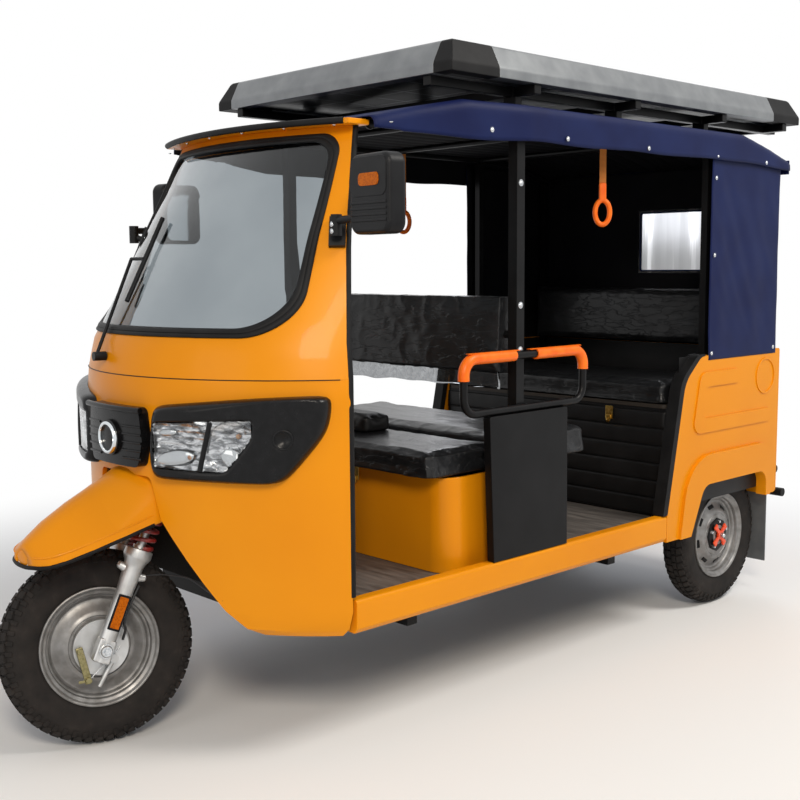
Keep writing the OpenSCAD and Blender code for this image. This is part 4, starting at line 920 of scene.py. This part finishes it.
slats = []
for z in (0.800, 0.822, 0.844, 0.866, 0.888):
    for s in SIDES:
        slats.append(swept([cab_point(z, s * math.radians(a), 0.0302) for a in (4.6, 7.0, 9.0, 10.8)],
                           0.0034))
lip = [cab_point(0.934, math.radians(a), 0.0330) for a in range(-11, 12, 2)]
slats.append(swept(lip, 0.0085))
piece("grille_slats", "body", joined(slats), gloss)
badge = [(0.0350, -0.004), (0.0350, 0.006), (0.0370, 0.0095), (0.0405, 0.0105), (0.0440, 0.0090),
         (0.0465, 0.005), (0.0465, -0.004)]
tilt = facing((0, -1, 0), (0, 0.0855, 0.850))
piece("grille_ring", "body", placed(spun(badge, 48, closed=True), tilt), mirror)
disc = spun([(0, 0.0040), (0.030, 0.0030), (0.0352, 0.0010), (0.0352, -0.006), (0, -0.006)], 40)
piece("grille_disc", "body", placed(disc, tilt), gloss)

# ---- Floor
# Steel tread plate covered by glued vinyl with a printed grey wood grain that runs across the vehicle.
# Wood-print vinyl: dull grey, streaked in grain 140 mm long and 18 mm wide, with pores of 2 mm pressed in.
floor_vinyl = finish("wood_print_vinyl", [(0.3, "#3F3B38"), (0.5, "#5A5551"), (0.7, "#6E6863")],
                     ("TexNoise", 6.0, 8.0, 0.6), ("TexNoise", 60.0, 2.0), 0.2, stretch=(1.2, 9.0, 9.0),
                     Roughness=0.55)
dressed("floor_pan", floor_vinyl, 0.002)

# ---- Seats
# Foam on plywood under black upholstery vinyl, with the maker's clear wrapping film still stretched over it. The seat
# boxes are yellow steel in front and black, roll-padded, behind; brass hasps lock their lids.
# Wrapped vinyl: black-grey under a loose clear film, whose creases of 15 to 60 mm flash white.
wrapped, tree, shader = substance("film_wrapped_vinyl", Roughness=0.42, Coat_Weight=0.3, Coat_Roughness=0.18,
                                  Specular_IOR_Level=0.15)
place = node(tree, "TexCoord").outputs["Object"]
hide = node(tree, "TexNoise", {"Vector": place, "Scale": 7.0, "Detail": 5.0, "Distortion": 0.4})
tones = node(tree, "ValToRGB", {0: hide.outputs[0]}, [(0.35, "#101113"), (0.6, "#1A1B1D"), (0.8, "#2A2C2F")])
tree.links.new(tones.outputs[0], shader.inputs["Base Color"])
drawn = node(tree, "Mapping", {"Vector": place, "Rotation": (0.3, 0.2, 0.5), "Scale": (5.0, 12.0, 14.0)})
folds = node(tree, "TexNoise", {"Vector": drawn.outputs[0], "Scale": 0.8, "Detail": 2.0, "Roughness": 0.45})
facets = node(tree, "TexVoronoi", {"Vector": drawn.outputs[0], "Scale": 1.8, "Randomness": 1.0})
ridges = node(tree, "Math", {0: facets.outputs["Distance"], 1: 0.15, 2: folds.outputs[0]},
              operation="MULTIPLY_ADD")
relief = node(tree, "Bump", {"Strength": 0.16, "Distance": 0.02, "Height": ridges.outputs[0]})
tree.links.new(relief.outputs[0], shader.inputs["Normal"])
pulled = node(tree, "Mapping", {"Vector": place, "Rotation": (0.2, 0.5, 0.9), "Scale": (13.0, 48.0, 48.0)})
pleats = node(tree, "TexNoise", {"Vector": pulled.outputs[0], "Scale": 1.0, "Detail": 3.0, "Roughness": 0.5,
                                 "Distortion": 0.4})
fold_line = node(tree, "MapRange", {"Value": pleats.outputs[0], "From Min": 0.44, "From Max": 0.52},
                 interpolation_type="SMOOTHSTEP")
soft_fold = node(tree, "Bump", {"Strength": 0.34, "Distance": 0.03, "Height": ridges.outputs[0]})
hard_fold = node(tree, "Bump", {"Strength": 0.6, "Distance": 0.004, "Height": fold_line.outputs[0],
                                "Normal": soft_fold.outputs[0]})
tree.links.new(hard_fold.outputs[0], shader.inputs["Coat Normal"])

# Bare vinyl: black, satin, with a fine leather grain of 2 mm.
bare = finish("black_seat_vinyl", [(0.3, "#0F0F10"), (0.7, "#1B1B1C")], ("TexNoise", 8.0, 5.0),
              ("TexVoronoi", 480.0), 0.12, Roughness=0.45, Specular_IOR_Level=0.2)


def crease(point, size, amount):
    value = noise.noise(point * size) + 0.5 * noise.noise(point * size * 2.3)
    return amount * (0.5 - min(1.0, abs(value) * 2.2))


def stuffed(name, held, voxel=0.010, pull=0.004, swell=0.010, wrinkle=0.0018, cover=wrapped):
    shape = merged(name)
    low = Vector([min(v.co[k] for v in shape.verts) for k in range(3)])
    high = Vector([max(v.co[k] for v in shape.verts) for k in range(3)])
    middle, span = (low + high) / 2, high - low
    shrink = Matrix.Diagonal([1 - 2 * pull / s for s in span] + [1])
    bmesh.ops.transform(shape, matrix=moved(middle) @ shrink @ moved(-middle), verts=shape.verts)
    bmesh.ops.triangulate(shape, faces=shape.faces)
    mesh = bpy.data.meshes.new(name + "_form")
    shape.to_mesh(mesh)
    shape.free()
    form = shown(name + "_form", mesh)
    cells = form.modifiers.new("cells", "REMESH")
    cells.mode = "VOXEL"
    cells.voxel_size = voxel
    bpy.context.view_layer.update()
    graph = bpy.context.evaluated_depsgraph_get()
    even = bpy.data.meshes.new_from_object(form.evaluated_get(graph))
    form.modifiers.clear()
    form.data = even
    flat = [v.co.copy() for v in even.vertices]
    axis, end = held
    fixed = form.vertex_groups.new(name="held")
    fixed.add([v.index for v in even.vertices
               if abs(v.co[axis] - (low if end < 0 else high)[axis]) < pull + 0.004], 1.0, "REPLACE")
    cloth = form.modifiers.new("filling", "CLOTH")
    cloth.settings.use_pressure = True
    cloth.settings.uniform_pressure_force = 4.0
    cloth.settings.effector_weights.gravity = 0.0
    cloth.settings.vertex_group_mass = "held"
    cloth.settings.quality = 4
    cloth.point_cache.frame_start = 1
    cloth.point_cache.frame_end = 20
    for count in range(1, 21):
        bpy.context.scene.frame_set(count)
    graph = bpy.context.evaluated_depsgraph_get()
    even = bpy.data.meshes.new_from_object(form.evaluated_get(graph))
    form.modifiers.clear()
    bpy.context.scene.frame_set(1)
    shape = bmesh.new()
    shape.from_mesh(even)
    shape.verts.ensure_lookup_table()
    for vert, start in zip(shape.verts, flat):
        step = vert.co - start
        vert.co = start + step * min(1.0, swell / max(step.length, 1e-9))
    bpy.data.objects.remove(form)
    bmesh.ops.smooth_vert(shape, verts=shape.verts, factor=0.5, use_axis_x=True, use_axis_y=True,
                          use_axis_z=True)
    bmesh.ops.subdivide_edges(shape, edges=shape.edges[:], cuts=1, use_grid_fill=True)
    bmesh.ops.smooth_vert(shape, verts=shape.verts, factor=0.5, use_axis_x=True, use_axis_y=True,
                          use_axis_z=True)
    shape.normal_update()
    moves = [vert.normal * crease(vert.co, 9.0, wrinkle) for vert in shape.verts]
    for vert, move in zip(shape.verts, moves):
        vert.co += move
        for k in range(3):
            vert.co[k] = min(max(vert.co[k], low[k] - 0.004), high[k] + 0.004)
        if end < 0:
            vert.co[axis] = max(vert.co[axis], low[axis] + 0.0005)
        else:
            vert.co[axis] = min(vert.co[axis], high[axis] - 0.0005)
    made = piece(name + "_padded", frame["nodes"][name]["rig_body"], shape, cover, [name],
                 smooth=80)
    return made


for name in ("driver_cushion", "middle_cushion", "rear_cushion"):
    stuffed(name, (2, -1))
stuffed("middle_backrest", (2, -1), pull=0.006)
stuffed("rear_backrest", (1, 1))
stuffed("driver_pad", (2, -1), voxel=0.008, wrinkle=0.0004, cover=bare)

film = net(80, 8)
for vert in film.verts:
    x, drop = vert.co.x * 0.515, (1 - vert.co.y) / 2
    wave = 0.006 * noise.noise((x * 14, drop, 3)) + 0.003 * noise.noise((x * 45, drop, 8))
    vert.co = Vector((x, 1.1300 + wave * drop * 1.5,
                      0.992 - drop * (0.052 + 0.012 * noise.noise((x * 8, 0, 1)))))
# Clear wrapping film: thin polythene, nearly invisible, crumpled in creases of 20 mm that flash.
film_clear = finish("clear_wrapping_film", [(0.3, "#8F9193"), (0.7, "#ADAFB1")], ("TexNoise", 45.0, 4.0, 1.5),
                    bump=0.03, deep=0.004, Roughness=0.05, IOR=1.12, Transmission_Weight=0.96)
hem = piece("backrest_film_hem", "body", film, film_clear, smooth=80)
thicken(hem, "film", 0.0004)

dressed("rear_seat_box", plastic, 0.003)
rolls = net(60, 96)
for vert in rolls.verts:
    x, z = vert.co.x * 0.545, 0.597 + vert.co.y * 0.192
    bulge = abs(math.sin((z - 0.405) / 0.064 * math.pi)) ** 0.25
    edge = min(1.0, (0.545 - abs(x)) / 0.02)
    vert.co = Vector((x, 1.9985 - 0.0070 * bulge * edge ** 0.5 + 0.001 * noise.noise((x * 20, 0, z * 30)), z))
front = piece("rear_seat_front", "body", rolls, bare, smooth=60)
linings = [lump((-0.5600, 2.6575, 0.700), (0.5600, 2.6592, 0.984), 0),
           both_sides(lump((0.5680, 2.030, 0.440), (0.5694, 2.655, 0.984), 0))]
piece("rear_inner_linings", "body", joined(linings), bare)
thicken(front, "backing", 0.002)
# Plywood: brown layered board, stained dark, its grain 125 mm long and 8 mm wide.
ply = finish("stained_plywood", [(0.3, "#15110C"), (0.7, "#2A2118")], ("TexNoise", 4.0, 6.0),
             stretch=(2.0, 30.0, 120.0), Roughness=0.7)
dressed("rear_seat_board", ply, 0.001)
hasps = []
for x, y, z in ((0.124, 0.8850, 0.661), (0.303, 1.9850, 0.768)):
    hasps.append(lump((x - 0.016, y - 0.0040, z - 0.022), (x + 0.016, y + 0.001, z + 0.026), 0.0015))
    hasps.append(lump((x - 0.009, y - 0.0110, z - 0.030), (x + 0.009, y - 0.002, z - 0.006), 0.003))
    hasps.append(placed(spun([(0.006, -0.002), (0.009, -0.002), (0.009, 0.002), (0.006, 0.002)], 20,
                             closed=True),
                        moved((x, y - 0.0110, z - 0.026))))
# Brass plate: warm gold, bright and dull in spots of 8 mm.
brass = finish("brass_plated_steel", [(0.3, "#A88438"), (0.7, "#D9B868")], ("TexNoise", 120.0, 4.0),
               dull=(0.2, 0.42), Metallic=1.0)
piece("seat_box_hasps", "body", joined(hasps), brass)

# ---- Door panels and handrails
# A black sheet-steel panel closes the lower half of the opening on each side, with a looped tube above it for a hand.
# Orange moulded grips are slid over the top of the loop and down round both its corners.
dressed("side_panels", black_steel, 0.004, segments=3)
dressed("handrails", black_steel, 0.001)
# Orange moulded plastic: opaque, bright, satin with a 2 mm grain.
orange = finish("orange_moulded_plastic", [(0.3, "#F2640F"), (0.7, "#FB7A1E")], ("TexNoise", 30.0, 4.0),
                ("TexVoronoi", 500.0), 0.08, Roughness=0.36, Specular_IOR_Level=0.25)
dressed("handrail_grips", orange, 0.003, segments=3)
RAIL_X, RAIL_TOP, RAIL_BEND = 0.5803, 1.046, 0.048
bends = []
for s in SIDES:
    for y_far, y_near in ((0.902, 0.956), (1.458, 1.404)):
        bend = math.copysign(RAIL_BEND, y_near - y_far)
        arc = [(s * RAIL_X, y_far + bend * (1 - math.cos(t)), RAIL_TOP - RAIL_BEND * (1 - math.sin(t)))
               for t in [math.radians(10 * k) for k in range(10)]]
        bends.append(swept([(s * RAIL_X, y_far, 0.984)] + arc + [(s * RAIL_X, y_near, RAIL_TOP)], 0.0172,
                           even=False, corners=6))
piece("grip_bends", "body", joined(bends), orange, smooth=50)

# ---- Canopy
# Blue PVC-coated canvas, laced over the roof bows and screwed along a hanging valance; a second sheet wraps the back
# from side to side with a clear window. Inside it is black, with the ribs of the padded lining running back.
ROOF = [(0.640, 0.496, 1.7233, 1.690), (0.760, 0.528, 1.753, 1.684), (0.930, 0.572, 1.785, 1.676),
        (1.160, 0.606, 1.785, 1.678), (2.180, 0.6143, 1.785, 1.682), (2.370, 0.6143, 1.785, 1.682),
        (2.560, 0.6143, 1.745, 1.676), (2.698, 0.6143, 1.709, 1.668)]
# Coated canvas: navy, a weave of about 1 mm under a soft plastic sheen, scuffed in clouds of 150 mm.
canvas, tree, shader = substance("navy_coated_canvas", Roughness=0.5, Specular_IOR_Level=0.12)
place = node(tree, "TexCoord").outputs["Object"]
scuff = node(tree, "TexNoise", {"Vector": place, "Scale": 6.5, "Detail": 6.0})
tones = node(tree, "ValToRGB", {0: scuff.outputs[0]}, [(0.3, "#0D153C"), (0.7, "#141F49")])
tree.links.new(tones.outputs[0], shader.inputs["Base Color"])
weave_a = node(tree, "TexWave", {"Vector": place, "Scale": 160.0}, bands_direction="Y")
weave_b = node(tree, "TexWave", {"Vector": place, "Scale": 160.0}, bands_direction="Z")
weave = node(tree, "Math", {0: weave_a.outputs["Fac"], 1: weave_b.outputs["Fac"]}, operation="MULTIPLY")
relief = node(tree, "Bump", {"Strength": 0.12, "Distance": 0.001, "Height": weave.outputs[0]})
tree.links.new(relief.outputs[0], shader.inputs["Normal"])
# Black backing cloth: matt, clouded over 140 mm, it swallows the light inside the canopy.
backing = finish("black_backing_cloth", [(0.3, "#0A0A0C"), (0.7, "#121216")], ("TexNoise", 7.0, 7.0),
                 Roughness=0.85, Specular_IOR_Level=0.12)
ROOF_BEND = 0.026


def roof_point(share, y, out=0.0):
    half, top, hem_z = between(ROOF, y)
    half, top = half + out, top + out
    reach, drop = half - ROOF_BEND, top - ROOF_BEND - hem_z
    bend = ROOF_BEND * math.pi / 2
    total = 2 * (drop + bend + reach)
    along = share * total
    s = 1
    if along > total / 2:
        along, s = total - along, -1
    if along < drop:
        x, z = half, hem_z + along
    elif along < drop + bend:
        turn = (along - drop) / ROOF_BEND
        x, z = half - ROOF_BEND * (1 - math.cos(turn)), top - ROOF_BEND * (1 - math.sin(turn))
    else:
        x, z = reach - (along - drop - bend), top
    return Vector((s * x, y, z))


roof = net(120, 140)
for vert in roof.verts:
    share, y = (1 - vert.co.x) / 2, 0.640 + (vert.co.y + 1) / 2 * 2.058
    point = roof_point(share, y)
    inside = min(1.0, abs(abs(point.x) - 0.6) / 0.15)
    sag = 0.006 * inside * (0.5 - 0.5 * math.cos(2 * math.pi * min(1, max(0, (y - 1.16) / 1.02)) * 2))
    low = max(0.0, 1 - (point.z - 1.66) / 0.09)
    ripple = 0.003 * low * noise.noise((point.x * 2, y * 7, 1)) - 0.0012
    point.z += -sag + 0.008 * low * noise.noise((point.x * 3, y * 4.5, 5)) * (0.72 < y)
    point.z -= 0.030 * low * (point.x < -0.4) * min(1.0, max(0.0, (y - 0.90) / 0.2))
    point.x += math.copysign(ripple, point.x) if abs(point.x) > 0.4 else 0
    vert.co = point
canopy = piece("canopy_roof_sheet", "body", roof, [canvas, backing], ["canopy_roof"],
               smooth=60)
thicken(canopy, "cloth", 0.003, inner=1)
flap = lump((-0.6115, 2.6968, 1.6560), (0.6115, 2.6996, 1.7085), 0.0008, 1)
piece("canopy_rear_hem", "body", flap, canvas)

lining = net(180, 60)
for vert in lining.verts:
    y = 0.700 + (vert.co.y + 1) / 2 * 1.960
    half, top, hem_z = between(ROOF, y)
    x = vert.co.x * (half - 0.030)
    rib = 0.006 * math.sqrt(abs(math.sin(x / 0.070 * math.pi)))
    vert.co = Vector((x, y, top - 0.0085 - rib))
inside = piece("roof_lining", "body", lining, backing, smooth=60)
thicken(inside, "padding", 0.0012, 0)

CURTAIN = [(0.6015, 2.172), (0.6015, 2.6570), (0.5620, 2.6945), (-0.5620, 2.6945), (-0.6015, 2.6570),
           (-0.6015, 2.172)]
lengths = [math.dist(a, b) for a, b in zip(CURTAIN, CURTAIN[1:])]


def curtain_point(run, z):
    left_over = run * sum(lengths)
    for a, b, length in zip(CURTAIN, CURTAIN[1:], lengths):
        if left_over <= length + 1e-9:
            break
        left_over -= length
    t = left_over / length
    normal = Vector((b[1] - a[1], a[0] - b[0], 0)).normalized()
    return Vector((a[0] + (b[0] - a[0]) * t, a[1] + (b[1] - a[1]) * t, z)), normal


WINDOW = (-0.060, 0.420, 1.288, 1.532)
wrap = net(220, 70)
for vert in wrap.verts:
    run = (vert.co.x + 1) / 2
    point, normal = curtain_point(run, 0)
    high = min(1.735, between(ROOF, point.y)[1] - 0.005)
    z = point.z = 0.968 + (high - 0.968) * (vert.co.y + 1) / 2
    falls = 0.5 + 0.5 * noise.noise((run * 26, z * 1.3, 2)) + 0.35 * noise.noise((run * 40 + z * 9, z * 4, 7))
    free = min(1.0, (z - 0.975) / 0.10, (1.70 - z) / 0.10)
    vert.co = point - normal * (0.0045 * max(0.0, falls) * free * (abs(point.x) > 0.5))
bmesh.ops.recalc_face_normals(wrap, faces=wrap.faces)
outward = sum(face.normal.x for face in wrap.faces if face.calc_center_median().x > 0.59)
if outward < 0:
    bmesh.ops.reverse_faces(wrap, faces=wrap.faces)
for point, normal in (((WINDOW[0], 0, 0), (1, 0, 0)), ((WINDOW[1], 0, 0), (1, 0, 0)),
                      ((0, 0, WINDOW[2]), (0, 0, 1)), ((0, 0, WINDOW[3]), (0, 0, 1))):
    rows = [face for face in wrap.faces if face.calc_center_median().y > 2.68]
    parts = set(rows) | {v for f in rows for v in f.verts} | {e for f in rows for e in f.edges}
    bmesh.ops.bisect_plane(wrap, geom=list(parts), plane_co=point, plane_no=normal)
gone = [face for face in wrap.faces if face.calc_center_median().y > 2.68
        and WINDOW[0] < face.calc_center_median().x < WINDOW[1]
        and WINDOW[2] < face.calc_center_median().z < WINDOW[3]]
bmesh.ops.delete(wrap, geom=gone, context="FACES")
curtain = piece("rear_curtain_sheet", "body", wrap, [canvas, backing], ["canopy_rear"],
                smooth=60)
thicken(curtain, "cloth", 0.0025, inner=1)
# Window film: flexible PVC gone cloudy grey, with hanging folds every 40 mm; the pale streaks along them are painted
# highlights.
window_film_painted_highlights = finish("cloudy_window_pvc_painted_highlights", [(0.35, "#A9AAAB"), (0.56, "#B8B9BA"), (0.66, "#E6E7E8")],
                     ("TexNoise", 1.0, 3.0, 0.3), bump=0.1, deep=0.004, stretch=(25.0, 25.0, 1.6),
                     Roughness=0.35, IOR=1.12, Transmission_Weight=0.8)
pane = net(40, 20)
for vert in pane.verts:
    x, z = 0.180 + vert.co.x * 0.250, 1.410 + vert.co.y * 0.132
    vert.co = Vector((x, 2.6900 + 0.0012 * noise.noise((x * 12, 0, z * 9)), z))
window = piece("rear_window_film", "body", pane, window_film_painted_highlights, ["rear_window"], smooth=80)
thicken(window, "film", 0.0008)
x0, x1, z0, z1 = WINDOW
cut = 0.006
corners = [(x0 + cut, z0), (x1 - cut, z0), (x1, z0 + cut), (x1, z1 - cut), (x1 - cut, z1), (x0 + cut, z1),
           (x0, z1 - cut), (x0, z0 + cut)]
binding = [swept([(x, y, z) for x, z in corners], 0.0035, closed=True, even=False) for y in (2.6945, 2.6890)]
piece("rear_window_binding", "body", joined(binding), canvas, smooth=60)
# Strap webbing: woven amber polyester, ribs 2 mm apart.
strap_web = finish("amber_webbing", [(0.2, "#A8581A"), (0.8, "#D98A35")], ("TexWave", 80.0), bump=0.3,
                   Roughness=0.7)
domes = [screw((s * 0.6150, y, z), (s, 0, 0), 0.0055) for s in SIDES
         for y, z in ((0.985, 1.698), (1.329, 1.696), (1.756, 1.695), (2.181, 1.694), (2.520, 1.690))]
domes += [screw((s * 0.6022, y, z), (s, 0, 0), 0.0055) for s in SIDES
          for y, z in ((2.195, 1.346), (2.190, 0.992), (2.632, 0.992), (2.195, 1.620))]
piece("canopy_screws", "body", joined(domes), zinc)
for name, x, turn in (("left", 0.500, 40), ("right", -0.460, 40)):
    ring = [(0.024 * math.sin(t), 0, 1.488 - 0.040 * math.cos(t))
            for t in [math.pi / 16 * k for k in range(32)]]
    handle = [swept(ring, 0.0085, closed=True, corners=6),
              lump((-0.012, -0.0085, 1.524), (0.012, 0.0085, 1.585), 0.005, 3)]
    at = moved((x, 1.660, 0)) @ turned(turn, "Z")
    piece(f"hand_strap_ring_{name}", "body", placed(joined(handle), at), orange,
          ["hand_straps"] if x > 0 else [], smooth=50)
    webbing = lump((-0.011, -0.0015, 1.580), (0.011, 0.0015, 1.7500), 0.001)
    piece(f"hand_strap_webbing_{name}", "body", placed(webbing, at), strap_web)

# ---- Tail
# A yellow tail panel with tall ribbed red lamps and a blank plate, a tubular bumper with rubber end sleeves
# and two hanging rubber mud flaps.
dressed("rear_bumper", black_steel, 0.002)
sleeves = [swept([(s * 0.500, y, z), (s * end, y, z)], radius, even=False, corners=6) for s in SIDES
           for end, y, z, radius in ((0.583, 2.782, 0.392, 0.0172), (0.572, 2.740, 0.492, 0.0152))]
piece("bumper_end_sleeves", "body", joined(sleeves), moulded, smooth=50)
# Red lens: transparent red plastic over a reflector, with prisms 6 mm apart.
red_lens = finish("red_lens", [(0.2, "#7A0C0A"), (0.7, "#C41C16")], ("TexVoronoi", 170.0), bump=0.3,
                  Roughness=0.10, Coat_Weight=0.7)
dressed("tail_lamps", red_lens, 0.006, segments=4)
bars = [lump((0.442, 2.7150, 0.690 + 0.0200 * k), (0.558, 2.7185, 0.6985 + 0.0200 * k), 0.0015)
        for k in range(8)]
piece("tail_lamp_ribs", "body", both_sides(*bars), red_lens)
plate_bolts = [screw((x, 2.7010, z), (0, 1, 0), 0.005) for x in (-0.11, 0.11) for z in (0.585, 0.655)]
piece("plate_bolts", "body", joined(plate_bolts), zinc)
# Flap rubber: mid grey, dusty, with a reinforcing weave of 3 mm.
flap = finish("grey_flap_rubber", [(0.3, "#4E5052"), (0.7, "#6A6C6E")], ("TexNoise", 10.0, 6.0),
              ("TexWave", 50.0), 0.15, Roughness=0.75)
dressed("mud_flaps", flap, 0.001)

# ---- Solar roof
# A framed panel of dark cells on a black steel rack; its rim is a padded silver-grey sleeve and its corners
# are closed by black rubber caps. The cells show their pale bus-bars from above and from below.
# Solar glass: near-black blue cells 156 mm wide with thin pale gaps between them.
cells, tree, shader = substance("solar_cell_glass", Roughness=0.3, Specular_IOR_Level=0.15)
place = node(tree, "TexCoord").outputs["Object"]
lines = node(tree, "TexBrick", {"Vector": place, "Color1": lin("#0B0F18"), "Color2": lin("#0E131E"),
                                "Mortar": lin("#A6AEB6"), "Scale": 1.0, "Mortar Size": 0.0028,
                                "Brick Width": 0.156, "Row Height": 0.156}, offset=0.0)
tree.links.new(lines.outputs[0], shader.inputs["Base Color"])
dressed("solar_cells", cells, 0.001)
# Padded sleeve: silver-grey vinyl, softly glossy, slightly creased every 60 mm.
sleeve_skin = finish("silver_vinyl_sleeve", [(0.3, "#74777A"), (0.7, "#85888A")], ("TexNoise", 14.0, 4.0),
                     bump=0.1, deep=0.004, Roughness=0.36, Metallic=0.7)
dressed("solar_border", sleeve_skin, 0.012, segments=4)
dressed("solar_corners", moulded, 0.010, segments=4)
